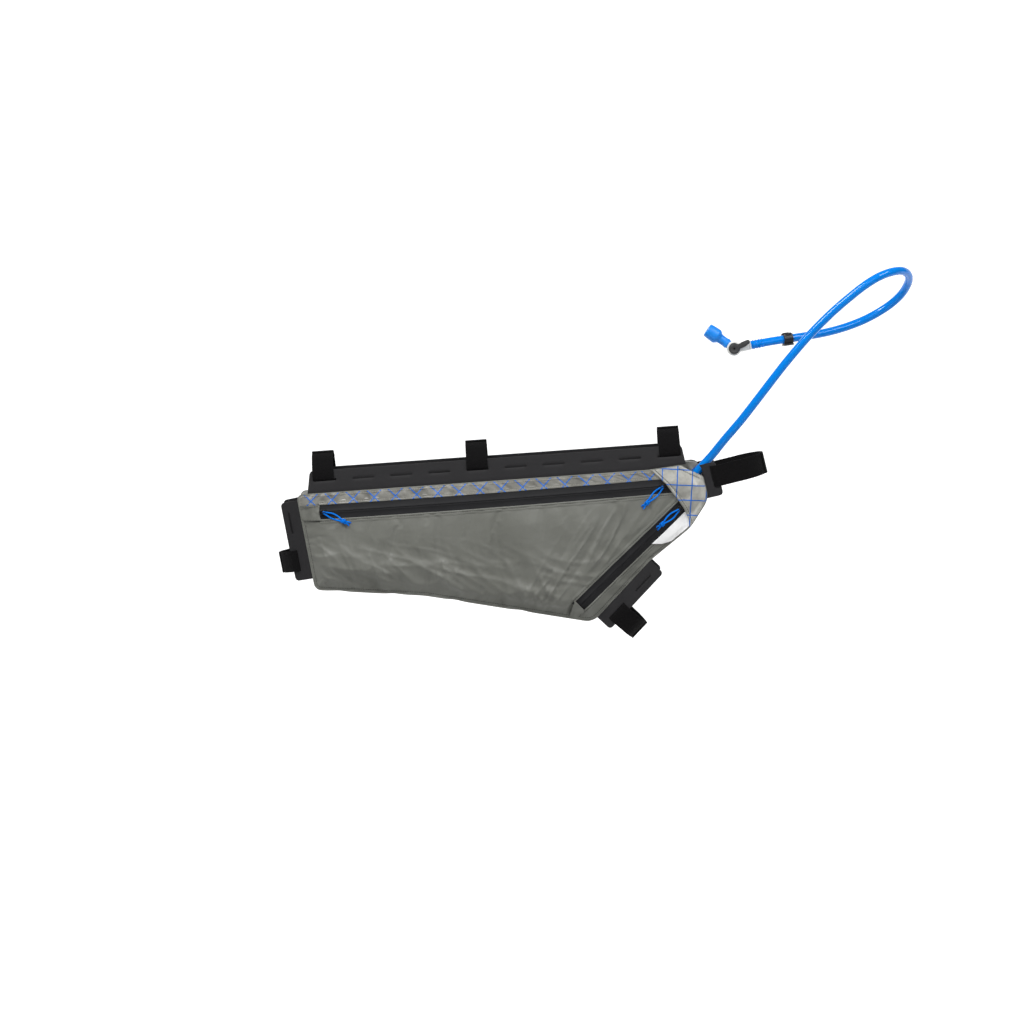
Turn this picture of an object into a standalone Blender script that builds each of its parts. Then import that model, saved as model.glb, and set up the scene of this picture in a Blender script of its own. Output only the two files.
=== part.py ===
"""Bicycle frame bag with its slotted lash strips, hook-and-loop straps and drinking hose.

Blender 4.5, metres, +Z up. +X points to the front of the bicycle and -Y to the side with the zips.
The origin is on the axis of the top tube, in the middle of the middle strap.
"""

import math
from collections import namedtuple

import bmesh
import bpy
import numpy as np
from mathutils import Matrix, Vector

# Bag body
BAG_LENGTH = 0.4932
BAG_HEIGHT = 0.1914
EDGE_WIDTH = 0.050  # across the bag, from side seam to side seam
BULGE = 0.008  # how far each side swells past its seams
BULGE_REACH = 0.052  # from the seam to where a side is fully swollen
CLOTH = 0.0012
SEAM_GAP = 0.0004  # between two pieces that are sewn edge to edge
LAID_GAP = 0.0003  # between two pieces that lie against each other
ORIGIN_SHARE = 0.4404  # share of the bag's length behind the origin
FOLD_FADE = 0.018  # folds die out this near a seam
SHARP_BEND = 18  # degrees; a panel's grid lines meet its edge's bends that are sharper
MITRE_LIMIT = 0.3

# Zips
ZIP_WIDTH = 0.0168
FRONT_ZIP_WIDTH = 0.0150
SLIDER_LENGTH = 0.0085
SLIDER_WIDTH = 0.0060
SLIDER_HEIGHT = 0.0028
SLIDER_SETBACK = 0.0052  # from the zip's end to the middle of its slider
PULL_LENGTH = 0.0330
PULL_CORD = 0.0020

# Lash strips and straps
STRIP_HEIGHT = 0.0270
STRIP_THICKNESS = 0.0012
SLOT_LENGTH = 0.0264
SLOT_HEIGHT = 0.0024
SLOT_PITCH = 0.0463
STRAP_WIDTH = 0.0256
STRAP_THICKNESS = 0.0016
STRIP_CORNER = 0.0045
STRIP_STAND = 0.0009  # from the bag's edge to a strip's foot

# Bicycle tubes that the straps go round, and each axis' distance from the bag's edge
TOP_TUBE_DIAMETER = 0.0380
TOP_TUBE_STAND = 0.0270
SEAT_TUBE_DIAMETER = 0.0316
SEAT_TUBE_STAND = 0.0184
DOWN_TUBE_DIAMETER = 0.0460
DOWN_TUBE_STAND = 0.0258
HEAD_TUBE_DIAMETER = 0.0540
HEAD_TUBE_STAND = 0.0480

# Hose and what is on it
HOSE_DIAMETER = 0.0100
PORT_REACH = 0.0300  # across the port's opening, seen from the side
CUFF_WALL = 0.0012
CUFF_LENGTH = 0.0160
CLIP_LENGTH = 0.0095
CLIP_WALL = 0.0022
BORE_CLEARANCE = 0.0007  # between the hose and what is round it
CLIP_FOOT = 0.0150
CLIP_FOOT_THICKNESS = 0.0030
CLIP_STAND = 0.0085  # from the hose's axis to the foot's flat face
VALVE_BODY_LENGTH = 0.0205
VALVE_BODY_DIAMETER = 0.0118
HUB_DIAMETER = 0.0176
HUB_WIDTH = 0.0130
LEVER_DISC_DIAMETER = 0.0128
LEVER_LENGTH = 0.0205
LEVER_WIDTH = 0.0056
LEVER_THICKNESS = 0.0026
LEVER_CLEARANCE = 0.0004
BITE_LENGTH = 0.0300
BITE_DIAMETER = 0.0180
BITE_NECK_DIAMETER = 0.0120
BITE_ANGLE = 45.0  # the bend from the valve body to the bite valve, in degrees

# The bag's outline: corners as shares of its length and height, counted from the rear end and the top,
# and corner radii as shares of its height.
Corner = namedtuple("Corner", "place along down radius")
OUTLINE = [
    Corner("rear top", 0.000, 0.207, 0.031),
    Corner("rear bottom", 0.044, 0.799, 0.045),
    Corner("middle of the bottom", 0.311, 0.834, 0.60),
    Corner("front bottom", 0.720, 1.000, 0.095),
    Corner("middle of the front", 0.859, 0.611, 0.50),
    Corner("below the nose", 0.956, 0.404, 0.21),
    Corner("nose", 1.000, 0.223, 0.125),
    Corner("front top", 0.978, 0.000, 0.052),
    Corner("end of the top's straight run", 0.854, 0.049, 0.42),
]

# Where the panels of the near side meet, as shares of the length and the height.
Spot = namedtuple("Spot", "along down")
BAND_REAR = Spot(0.0040, 0.2790)
COVER_REAR = Spot(0.0130, 0.3665)
TOP_ZIP_REAR = Spot(0.0545, 0.3110)
TOP_ZIP_FRONT = Spot(0.8960, 0.1440)
TOP_ZIP_SAG = 0.0012
FRONT_ZIP_TOP = Spot(0.9370, 0.2700)
FRONT_ZIP_FOOT = Spot(0.6855, 0.9020)
SEAM_FOOT = Spot(0.6600, 0.9850)  # where the seams on both sides of the zip's foot meet the hem
HEM_FOOT = Spot(0.6850, 1.0000)
FLAP_REAR_EDGE = [
    Spot(0.8613, 0.0460),
    Spot(0.8960, 0.1320),
    Spot(0.9230, 0.2190),
    Spot(0.9420, 0.2930),
    Spot(0.9510, 0.3480),
    Spot(0.9555, 0.4010),
]
PORT_REAR = Spot(0.9330, 0.0120)
PORT_FRONT = Spot(0.9840, 0.0880)
PATCH_FOOT = [Spot(0.8640, 0.5360), Spot(0.8880, 0.5080), Spot(0.9130, 0.4990)]

# Soft folds of the near side: middle, length and width as shares of the bag's length, tilt in degrees
# from the front, and height (a dent is negative) as a share of the bulge.
Fold = namedtuple("Fold", "along down length width tilt height")
FOLDS = [
    Fold(0.105, 0.690, 0.060, 0.015, -38, -0.16),
    Fold(0.170, 0.700, 0.075, 0.016, -35, 0.16),
    Fold(0.235, 0.690, 0.080, 0.016, -33, -0.15),
    Fold(0.320, 0.740, 0.075, 0.018, -28, 0.14),
    Fold(0.400, 0.790, 0.060, 0.016, -50, -0.12),
    Fold(0.500, 0.840, 0.050, 0.016, -70, 0.10),
    Fold(0.640, 0.640, 0.070, 0.014, 62, 0.12),
    Fold(0.700, 0.560, 0.070, 0.014, 58, -0.14),
    Fold(0.760, 0.470, 0.060, 0.013, 55, 0.12),
    Fold(0.860, 0.300, 0.035, 0.012, 50, -0.12),
]

# The lash strips: the two spots on the bag's edge between which each stands, its height and how far up its
# slots are as shares of the top strip's height, and where its first slot is as a share of the slots' pitch.
Strip = namedtuple("Strip", "name first last height rise first_slot")
STRIPS = [
    Strip("top_strip", Spot(0.0245, 0.2020), Spot(0.9480, 0.0200), 1.000, 0.556, 0.450),
    Strip("rear_strip", Spot(0.0025, 0.2400), Spot(0.0390, 0.7320), 0.815, 0.519, 0.547),
    Strip("front_strip", Spot(0.8589, 0.6146), Spot(0.7300, 0.9730), 0.796, 0.444, 0.551),
    Strip("head_strip", Spot(0.9772, 0.0050), Spot(0.9985, 0.2250), 0.704, 0.426, 0.415),
]

# The straps: the strip that each goes through, how far along its row of slots, and the tube that it goes round.
Strap = namedtuple("Strap", "name strip row_share diameter stand")
STRAPS = [
    Strap("top_strap_rear", "top_strip", 0.0, TOP_TUBE_DIAMETER, TOP_TUBE_STAND),
    Strap("top_strap_middle", "top_strip", 0.45, TOP_TUBE_DIAMETER, TOP_TUBE_STAND),
    Strap("top_strap_front", "top_strip", 1.0, TOP_TUBE_DIAMETER, TOP_TUBE_STAND),
    Strap("seat_tube_strap", "rear_strip", 1.0, SEAT_TUBE_DIAMETER, SEAT_TUBE_STAND),
    Strap("down_tube_strap", "front_strip", 1.0, DOWN_TUBE_DIAMETER, DOWN_TUBE_STAND),
    Strap("head_tube_strap", "head_strip", 0.0, HEAD_TUBE_DIAMETER, HEAD_TUBE_STAND),
]

# The hose's route from inside the port to the valve, chosen by hand: x, y, z in metres.
HOSE_ROUTE = [
    (0.2544, -0.0160, -0.0258),
    (0.2649, -0.0165, -0.0122),
    (0.2728, -0.0174, -0.0032),
    (0.2806, -0.0200, 0.0060),
    (0.2888, -0.0245, 0.0170),
    (0.2972, -0.0295, 0.0281),
    (0.3138, -0.0360, 0.0487),
    (0.3298, -0.0395, 0.0700),
    (0.3456, -0.0415, 0.0912),
    (0.3621, -0.0425, 0.1130),
    (0.3775, -0.0430, 0.1319),
    (0.3926, -0.0432, 0.1495),
    (0.4087, -0.0434, 0.1664),
    (0.4244, -0.0436, 0.1815),
    (0.4415, -0.0440, 0.1962),
    (0.4578, -0.0440, 0.2091),
    (0.4746, -0.0416, 0.2194),
    (0.4912, -0.0330, 0.2252),
    (0.5053, -0.0192, 0.2261),
    (0.5144, -0.0020, 0.2211),
    (0.5169, 0.0155, 0.2115),
    (0.5114, 0.0310, 0.1978),
    (0.5000, 0.0400, 0.1853),
    (0.4862, 0.0436, 0.1754),
    (0.4700, 0.0426, 0.1666),
    (0.4528, 0.0376, 0.1597),
    (0.4335, 0.0296, 0.1540),
    (0.4131, 0.0196, 0.1498),
    (0.3893, 0.0086, 0.1465),
    (0.3712, 0.0026, 0.1441),
    (0.3584, 0.0006, 0.1423),
    (0.3458, 0.0000, 0.1402),
    (0.3275, 0.0000, 0.1368),
]
HOSE_EXIT_POINT = 1  # the route's point at the port
CLIP_POINT = 29  # the route's point where the clip holds the hose

# Finishes: colour, roughness, metallic
FINISHES = {
    "body_cloth": ((0.135, 0.139, 0.124), 0.62, 0.0),
    "light_cloth": ((0.340, 0.340, 0.305), 0.50, 0.0),
    "reflective_cloth": ((0.720, 0.730, 0.740), 0.35, 0.2),
    "zip_tape": ((0.022, 0.022, 0.024), 0.45, 0.0),
    "coated_strip": ((0.022, 0.021, 0.022), 0.65, 0.0),
    "hook_and_loop": ((0.008, 0.008, 0.009), 0.95, 0.0),
    "cord_blue": ((0.000, 0.170, 0.750), 0.70, 0.0),
    "hose_blue": ((0.000, 0.160, 0.720), 0.18, 0.0),
    "bite_blue": ((0.010, 0.270, 0.850), 0.40, 0.0),
    "clip_black": ((0.012, 0.012, 0.013), 0.50, 0.0),
    "valve_white": ((0.700, 0.700, 0.690), 0.35, 0.0),
    "lever_grey": ((0.045, 0.045, 0.047), 0.50, 0.0),
    "slider_black": ((0.015, 0.015, 0.016), 0.40, 0.3),
}

for old in list(bpy.data.objects):
    bpy.data.objects.remove(old, do_unlink=True)

bag_collection = bpy.data.collections.new("frame_bag")
cutter_collection = bpy.data.collections.new("cutters")
for collection in (bag_collection, cutter_collection):
    bpy.context.scene.collection.children.link(collection)


def material(name):
    """The Principled BSDF material of one finish, made once."""
    made = bpy.data.materials.get(name)
    if made:
        return made
    made = bpy.data.materials.new(name)
    made.use_nodes = True
    colour, roughness, metallic = FINISHES[name]
    shader = made.node_tree.nodes["Principled BSDF"]
    shader.inputs["Base Color"].default_value = (*colour, 1)
    shader.inputs["Roughness"].default_value = roughness
    shader.inputs["Metallic"].default_value = metallic
    return made


def add_object(name, data, finish):
    """Links mesh or curve data to the bag's collection as one named object."""
    data.materials.append(material(finish))
    obj = bpy.data.objects.new(name, data)
    bag_collection.objects.link(obj)
    return obj


def mesh_from(bm, name):
    mesh = bpy.data.meshes.new(name)
    bm.to_mesh(mesh)
    bm.free()
    return mesh


def as_mesh(obj):
    """The object again as a mesh with its caps welded, in the same place."""
    bpy.context.view_layer.update()
    graph = bpy.context.evaluated_depsgraph_get()
    mesh = bpy.data.meshes.new_from_object(obj.evaluated_get(graph))
    bm = bmesh.new()
    bm.from_mesh(mesh)
    bmesh.ops.remove_doubles(bm, verts=bm.verts, dist=1e-6)
    bmesh.ops.recalc_face_normals(bm, faces=bm.faces)
    bm.to_mesh(mesh)
    bm.free()
    name = obj.name
    made = bpy.data.objects.new(name, mesh)
    made.matrix_world = obj.matrix_world.copy()
    for holder in obj.users_collection:
        holder.objects.link(made)
    bpy.data.objects.remove(obj, do_unlink=True)
    made.name = name
    return made


def as_cutter(obj):
    """Moves an object to the cutters, which are not part of the bag."""
    for holder in list(obj.users_collection):
        holder.objects.unlink(obj)
    cutter_collection.objects.link(obj)
    obj.hide_render = True
    obj.display_type = "WIRE"
    return obj


def combine(obj, other, operation):
    """Adds a Boolean of the other object, which becomes a cutter."""
    boolean = obj.modifiers.new(operation.lower(), "BOOLEAN")
    boolean.operation = operation
    boolean.solver = "EXACT"
    boolean.object = as_cutter(other)
    return obj


def frame_matrix(origin, x_axis, y_axis):
    """A matrix that places local x and y along the two given directions."""
    x_axis = Vector(x_axis).normalized()
    z_axis = x_axis.cross(Vector(y_axis)).normalized()
    y_axis = z_axis.cross(x_axis)
    placed = Matrix((x_axis, y_axis, z_axis)).transposed().to_4x4()
    placed.translation = Vector(origin)
    return placed


def flat_curve(name, outlines, thickness, finish):
    """A flat plate: the first outline is its edge and the others are its holes."""
    curve = bpy.data.curves.new(name, "CURVE")
    curve.dimensions = "2D"
    curve.fill_mode = "BOTH"
    curve.extrude = thickness / 2
    for outline in outlines:
        spline = curve.splines.new("POLY")
        spline.points.add(len(outline) - 1)
        for point, (x, y) in zip(spline.points, outline):
            point.co = (x, y, 0, 1)
        spline.use_cyclic_u = True
    return add_object(name, curve, finish)


def tube(name, points, diameter, finish, cyclic=False, resolution=2):
    """A round bar along the points, with closed ends unless it is cyclic."""
    curve = bpy.data.curves.new(name, "CURVE")
    curve.dimensions = "3D"
    curve.bevel_depth = diameter / 2
    curve.bevel_resolution = resolution
    curve.use_fill_caps = not cyclic
    spline = curve.splines.new("POLY")
    spline.points.add(len(points) - 1)
    for point, place in zip(spline.points, points):
        point.co = (*place, 1)
    spline.use_cyclic_u = cyclic
    return add_object(name, curve, finish)


def turned(name, profile, steps, finish):
    """A solid turned about local Z: the profile is (height, radius) from top to bottom."""
    bm = bmesh.new()
    rim = [bm.verts.new((radius, 0, height)) for height, radius in profile]
    for upper, lower in zip(rim, rim[1:]):
        bm.edges.new((upper, lower))
    obj = add_object(name, mesh_from(bm, name), finish)
    screw = obj.modifiers.new("turn", "SCREW")
    screw.axis = "Z"
    screw.steps = screw.render_steps = steps
    screw.use_merge_vertices = True
    screw.merge_threshold = 1e-5
    return obj


def block(name, size, finish):
    """A rectangular block about the origin."""
    bm = bmesh.new()
    bmesh.ops.create_cube(bm, size=1)
    bmesh.ops.scale(bm, vec=size, verts=bm.verts)
    return add_object(name, mesh_from(bm, name), finish)


def smooth_line(points, spacing):
    """Points about spacing apart on a smooth curve through the given points."""
    given = [np.array(p, float) for p in points]
    given = [2 * given[0] - given[1], *given, 2 * given[-1] - given[-2]]
    fine = []
    for a, b, c, d in zip(given, given[1:], given[2:], given[3:]):
        for t in np.linspace(0, 1, 12, endpoint=False):
            fine.append(
                0.5
                * (2 * b + (c - a) * t + (2 * a - 5 * b + 4 * c - d) * t**2 + (3 * b - a - 3 * c + d) * t**3)
            )
    return even_line([*fine, given[-2]], spacing)


def even_line(points, spacing):
    """The same line with points about spacing apart."""
    points = np.array(points, float)
    along = np.concatenate([[0], np.cumsum(np.linalg.norm(np.diff(points, axis=0), axis=1))])
    count = max(2, round(along[-1] / spacing) + 1)
    at = np.linspace(0, along[-1], count)
    return np.stack([np.interp(at, along, points[:, k]) for k in range(points.shape[1])], axis=1)


# The bag's outline and the height of its sides

def top_edge_down(along):
    """How far down the straight top edge is, as a share of the height."""
    rear, front = OUTLINE[0], OUTLINE[-1]
    return rear.down + (front.down - rear.down) * (along - rear.along) / (front.along - rear.along)


BAG_TOP = top_edge_down(ORIGIN_SHARE) * BAG_HEIGHT - TOP_TUBE_STAND


def place(spot):
    """A spot given in shares, as (x, z) in metres."""
    return np.array([(spot.along - ORIGIN_SHARE) * BAG_LENGTH, BAG_TOP - spot.down * BAG_HEIGHT])


def rounded_outline(inset=0.0):
    """The outline anticlockwise seen from the near side, with its corners as arcs, set in by inset."""
    corners = [place(corner) for corner in OUTLINE]
    line = []
    for i, here in enumerate(corners):
        before, after = corners[i - 1], corners[(i + 1) % len(corners)]
        way_in = (here - before) / np.linalg.norm(here - before)
        way_out = (after - here) / np.linalg.norm(after - here)
        turn = math.atan2(way_in[0] * way_out[1] - way_in[1] * way_out[0], way_in @ way_out)
        radius = OUTLINE[i].radius * BAG_HEIGHT
        cut = radius * math.tan(abs(turn) / 2)
        inward = np.array([-way_in[1], way_in[0]])
        centre = here - way_in * cut + inward * math.copysign(radius, turn)
        arc_radius = radius - math.copysign(inset, turn)
        steps = max(2, math.ceil(math.degrees(abs(turn)) / 15))
        for k in range(steps + 1):
            angle = turn * k / steps
            spoke = -inward * math.copysign(1, turn)
            swung = np.array(
                [
                    spoke[0] * math.cos(angle) - spoke[1] * math.sin(angle),
                    spoke[0] * math.sin(angle) + spoke[1] * math.cos(angle),
                ]
            )
            line.append(centre + swung * arc_radius)
    return np.array(line)


BORDER = rounded_outline()


def edge_distance(x, z):
    """How far a point inside the outline is from it."""
    ends = np.roll(BORDER, -1, axis=0)
    run = ends - BORDER
    offset = np.array([x, z]) - BORDER
    share = np.clip((offset * run).sum(1) / (run * run).sum(1), 0, 1)
    return float(np.linalg.norm(offset - share[:, None] * run, axis=1).min())


def fold_height(x, z):
    """The height that the soft folds add at a point of the near side."""
    total = 0.0
    for fold in FOLDS:
        middle = place(fold)
        tilt = math.radians(fold.tilt)
        dx, dz = x - middle[0], z - middle[1]
        lengthways = (dx * math.cos(tilt) + dz * math.sin(tilt)) / (fold.length * BAG_LENGTH)
        across = (dz * math.cos(tilt) - dx * math.sin(tilt)) / (fold.width * BAG_LENGTH)
        total += fold.height * BULGE * math.exp(-(across**2) - lengthways**4)
    return total


def side_height(x, z, folded=True):
    """How far the side's outer face is from the bag's middle plane."""
    distance = edge_distance(x, z)
    swell = BULGE * (1 - (1 - min(distance / BULGE_REACH, 1)) ** 2)
    if folded:
        swell += fold_height(x, z) * min(distance / FOLD_FADE, 1)
    return EDGE_WIDTH / 2 + swell


def even_border():
    """The whole outline as many evenly spaced points."""
    return even_line(np.vstack([BORDER, BORDER[:1]]), BAG_LENGTH / 400)[:-1]


FINE_BORDER = even_border()


def border_number(spot):
    return int(np.linalg.norm(FINE_BORDER - place(spot), axis=1).argmin())


def on_border(spot):
    """The outline's point that is nearest the spot."""
    return FINE_BORDER[border_number(spot)]


def border_between(first, last):
    """The outline's points from the one nearest the first spot to the one nearest the last, anticlockwise."""
    start, end = border_number(first), border_number(last)
    if end <= start:
        end += len(FINE_BORDER)
    return [FINE_BORDER[i % len(FINE_BORDER)] for i in range(start, end + 1)]


def thinned(line):
    """The line without the points that lie straight between their neighbours."""
    kept = [line[0]]
    for point, after in zip(line[1:], line[2:]):
        run = after - kept[-1]
        offset = point - kept[-1]
        if abs(run[0] * offset[1] - run[1] * offset[0]) / np.linalg.norm(run) > SEAM_GAP / 4:
            kept.append(point)
    return [*kept, line[-1]]


def offset_line(line, distances):
    """A closed line moved to its right by a distance of its own at each point."""
    moved = []
    for i, here in enumerate(line):
        before, after = line[i - 1], line[(i + 1) % len(line)]
        way_in = (here - before) / np.linalg.norm(here - before)
        way_out = (after - here) / np.linalg.norm(after - here)
        right_in = np.array([way_in[1], -way_in[0]])
        right_out = np.array([way_out[1], -way_out[0]])
        mitre = right_in + right_out
        mitre /= max(mitre @ right_in, MITRE_LIMIT)
        moved.append(here + mitre * distances[i])
    return moved


def stations(line, count):
    """Points at even shares of a line, with the nearest ones moved onto its sharp bends."""
    line = np.array(line)
    runs = np.diff(line, axis=0)
    along = np.concatenate([[0], np.cumsum(np.linalg.norm(runs, axis=1))])
    at = np.linspace(0, along[-1], count + 1)
    for before, after, bend in zip(runs, runs[1:], along[1:]):
        turn = math.atan2(before[0] * after[1] - before[1] * after[0], before @ after)
        if abs(turn) > math.radians(SHARP_BEND) and count > 1:
            at[1 + abs(at[1:-1] - bend).argmin()] = bend
    return np.stack([np.interp(at, along, line[:, k]) for k in (0, 1)], axis=1)


def panel(name, bottom, top, rear, front, columns, rows, finish, far=False, folded=True):
    """A cloth panel on one side of the bag, stretched between four edge lines.

    The bottom and top lines run from the rear forwards, and the rear and front lines upwards.
    """
    bottom, top = stations(bottom, columns), stations(top, columns)
    rear, front = stations(rear, rows), stations(front, rows)
    spots = {}
    for i in range(columns + 1):
        for j in range(rows + 1):
            u, v = i / columns, j / rows
            lengthways = (1 - v) * bottom[i] + v * top[i]
            upwards = (1 - u) * rear[j] + u * front[j]
            flat = (1 - v) * ((1 - u) * bottom[0] + u * bottom[-1]) + v * ((1 - u) * top[0] + u * top[-1])
            spots[i, j] = lengthways + upwards - flat
    rim = [(i, 0) for i in range(columns)] + [(columns, j) for j in range(rows)]
    rim += [(i, rows) for i in range(columns, 0, -1)] + [(0, j) for j in range(rows, 0, -1)]
    for key, spot in zip(rim, offset_line([spots[key] for key in rim], [-SEAM_GAP / 2] * len(rim))):
        spots[key] = spot
    bm = bmesh.new()
    bmesh.ops.create_grid(bm, x_segments=columns, y_segments=rows, size=0.5)
    for vert in bm.verts:
        x, z = spots[round((vert.co.x + 0.5) * columns), round((vert.co.y + 0.5) * rows)]
        height = side_height(x, z, folded)
        vert.co = (x, height if far else -height, z)
    if far:
        bmesh.ops.reverse_faces(bm, faces=bm.faces)
    mesh = mesh_from(bm, name)
    mesh.shade_smooth()
    obj = add_object(name, mesh, finish)
    wall = obj.modifiers.new("wall", "SOLIDIFY")
    wall.thickness = CLOTH
    wall.offset = -1
    return obj


def zip_edge(first, last, sag, offset):
    """One edge of a zip: its middle line, bowed down by sag and moved sideways by offset."""
    start, end = place(first), place(last)
    run = end - start
    sideways = np.array([-run[1], run[0]]) / np.linalg.norm(run)
    return [
        start + run * t + sideways * offset - np.array([0, 4 * sag * t * (1 - t)]) for t in np.linspace(0, 1, 9)
    ]


def crossing(line, other):
    """The point where two lines of points cross, and the number of the first line's run that it is on."""
    for i, (a, b) in enumerate(zip(line, line[1:])):
        for c, d in zip(other, other[1:]):
            r, s = b - a, d - c
            spread = r[0] * s[1] - r[1] * s[0]
            if abs(spread) < 1e-15:
                continue
            t = ((c - a)[0] * s[1] - (c - a)[1] * s[0]) / spread
            w = ((c - a)[0] * r[1] - (c - a)[1] * r[0]) / spread
            if -1e-9 <= t <= 1 + 1e-9 and -1e-9 <= w <= 1 + 1e-9:
                return a + r * t, i
    raise ValueError("two seam lines of the bag don't cross")


def cut_at(line, other, keep_start=True):
    """The line up to where it crosses the other, or from there on."""
    point, i = crossing(line, other)
    return [*line[: i + 1], point] if keep_start else [point, *line[i + 1 :]]


def extended(line, by):
    """The line made longer at both ends."""
    line = [np.array(p) for p in line]
    first, last = line[0] - line[1], line[-1] - line[-2]
    start = line[0] + first / np.linalg.norm(first) * by
    end = line[-1] + last / np.linalg.norm(last) * by
    return [start, *line, end]


def build_panels():
    """The near side's sewn panels and zips, the far side and the gusset between them."""
    reach = 2 * ZIP_WIDTH
    flap_edge = [place(s) for s in FLAP_REAR_EDGE]
    flap_edge[0], flap_edge[-1] = on_border(FLAP_REAR_EDGE[0]), on_border(FLAP_REAR_EDGE[-1])
    top_zip = [zip_edge(TOP_ZIP_REAR, TOP_ZIP_FRONT, TOP_ZIP_SAG, s * ZIP_WIDTH / 2) for s in (1, -1)]
    zip_upper, zip_lower = (cut_at(extended(line, reach), flap_edge)[1:] for line in top_zip)
    front_zip = [zip_edge(FRONT_ZIP_FOOT, FRONT_ZIP_TOP, 0, s * FRONT_ZIP_WIDTH / 2) for s in (1, -1)]
    inner, outer = (cut_at(extended(line, reach), flap_edge)[1:] for line in front_zip)

    def flap_between(low, high):
        """The flap's rear edge between two of its points, upwards."""
        marks = [p for p in flap_edge if low[1] + SEAM_GAP < p[1] < high[1] - SEAM_GAP]
        return [low, *reversed(marks), high]

    band_rear, cover_rear = on_border(BAND_REAR), on_border(COVER_REAR)
    roof = border_between(FLAP_REAR_EDGE[0], OUTLINE[0])
    band_end = border_between(OUTLINE[0], BAND_REAR)
    panel(
        "top_band",
        [band_rear, *zip_upper],
        roof[::-1],
        band_end[::-1],
        flap_between(zip_upper[-1], flap_edge[0]),
        *(34, 2, "light_cloth"),
    )
    panel(
        "top_zip",
        zip_lower,
        zip_upper,
        [zip_lower[0], zip_upper[0]],
        flap_between(zip_lower[-1], zip_upper[-1]),
        *(30, 2, "zip_tape"),
    )
    panel(
        "zip_end_cover",
        [cover_rear, zip_lower[0]],
        [band_rear, zip_upper[0]],
        [cover_rear, band_rear],
        [zip_lower[0], zip_upper[0]],
        *(2, 2, "body_cloth"),
    )
    floor = border_between(OUTLINE[1], SEAM_FOOT)
    rear_edge = border_between(COVER_REAR, OUTLINE[1])
    panel(
        "main_panel",
        floor,
        [cover_rear, *zip_lower],
        rear_edge[::-1],
        [floor[-1], *inner[:-1], *flap_between(inner[-1], zip_lower[-1])],
        *(30, 14, "body_cloth"),
    )
    panel(
        "front_zip",
        outer,
        inner,
        [outer[0], inner[0]],
        flap_between(outer[-1], inner[-1]),
        *(20, 1, "zip_tape"),
    )
    foot_hem = border_between(SEAM_FOOT, HEM_FOOT)
    panel(
        "zip_foot_cover",
        foot_hem,
        [inner[0], outer[0]],
        [foot_hem[0], inner[0]],
        [foot_hem[-1], outer[0]],
        *(2, 2, "body_cloth"),
    )
    patch_foot = [place(s) for s in PATCH_FOOT]
    patch_foot[-1] = on_border(PATCH_FOOT[-1])
    patch_end, run = crossing(outer, extended(patch_foot, reach))
    patch_rear = [*reversed(patch_foot[1:]), patch_end]
    hem = border_between(HEM_FOOT, PATCH_FOOT[-1])
    panel(
        "front_panel",
        hem,
        [*outer[: run + 1], patch_end],
        [hem[0], outer[0]],
        patch_rear,
        *(22, 3, "body_cloth"),
    )
    patch_hem = border_between(PATCH_FOOT[-1], FLAP_REAR_EDGE[-1])
    panel(
        "reflective_patch",
        patch_hem,
        [patch_end, *outer[run + 1 :]],
        patch_rear,
        flap_between(flap_edge[-1], outer[-1]),
        *(10, 3, "reflective_cloth"),
    )
    nose = border_between(FLAP_REAR_EDGE[-1], PORT_FRONT)
    port = [on_border(PORT_FRONT), on_border(PORT_REAR)]
    flap_roof = border_between(PORT_REAR, FLAP_REAR_EDGE[0])
    panel(
        "port_flap",
        nose,
        flap_roof[::-1],
        flap_edge[::-1],
        port,
        *(10, 10, "light_cloth"),
    )
    build_far_panel()
    build_gusset()


def build_far_panel():
    """The plain far side."""
    floor = border_between(OUTLINE[1], OUTLINE[3])
    front = border_between(OUTLINE[3], OUTLINE[7])
    roof = border_between(OUTLINE[7], OUTLINE[0])
    rear = border_between(OUTLINE[0], OUTLINE[1])
    panel(
        "far_panel", floor, [*reversed(roof)], [*reversed(rear)], front, 30, 14, "body_cloth", far=True, folded=False
    )


def port_axis():
    """Where the hose leaves the port, and its direction there."""
    here = Vector(HOSE_ROUTE[HOSE_EXIT_POINT])
    way = Vector(HOSE_ROUTE[HOSE_EXIT_POINT + 1]) - Vector(HOSE_ROUTE[HOSE_EXIT_POINT - 1])
    return here, way.normalized()


def build_gusset():
    """The band of cloth round the bag between its two sides, with the port cut from its front top corner."""
    width = EDGE_WIDTH - 2 * (CLOTH + SEAM_GAP)
    gusset = flat_curve("gusset", [rounded_outline(), rounded_outline(CLOTH)], width, "body_cloth")
    gusset.matrix_world = frame_matrix((0, 0, 0), (1, 0, 0), (0, 0, 1))
    gusset = as_mesh(gusset)
    here, way = port_axis()
    cuff_side = here.y + HOSE_DIAMETER / 2 + BORE_CLEARANCE + CUFF_WALL + 3 * LAID_GAP
    depth = cuff_side + EDGE_WIDTH
    cutter = block("port_cutter", (PORT_REACH, depth, PORT_REACH), "body_cloth")
    corner = place(OUTLINE[7])
    middle = Vector((corner[0], cuff_side - depth / 2, corner[1]))
    slope = math.atan2(way.z, way.x)
    cutter.matrix_world = Matrix.Translation(middle) @ Matrix.Rotation(math.pi / 2 - slope, 4, "Y")
    combine(gusset, cutter, "DIFFERENCE")


# Lash strips and straps

def strip_frame(strip):
    """Where a strip's foot starts on the bag's edge, the way along that edge and the way out from it."""
    first, last = place(strip.first), place(strip.last)
    if strip.name == "top_strip":
        last = first + (place(OUTLINE[-1]) - place(OUTLINE[0]))
    along = (last - first) / np.linalg.norm(last - first)
    out = np.array([-along[1], along[0]])
    middle = place(Spot(0.45, 0.5))
    if (first - middle) @ out < 0:
        out = -out
    return first, along, out


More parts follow.
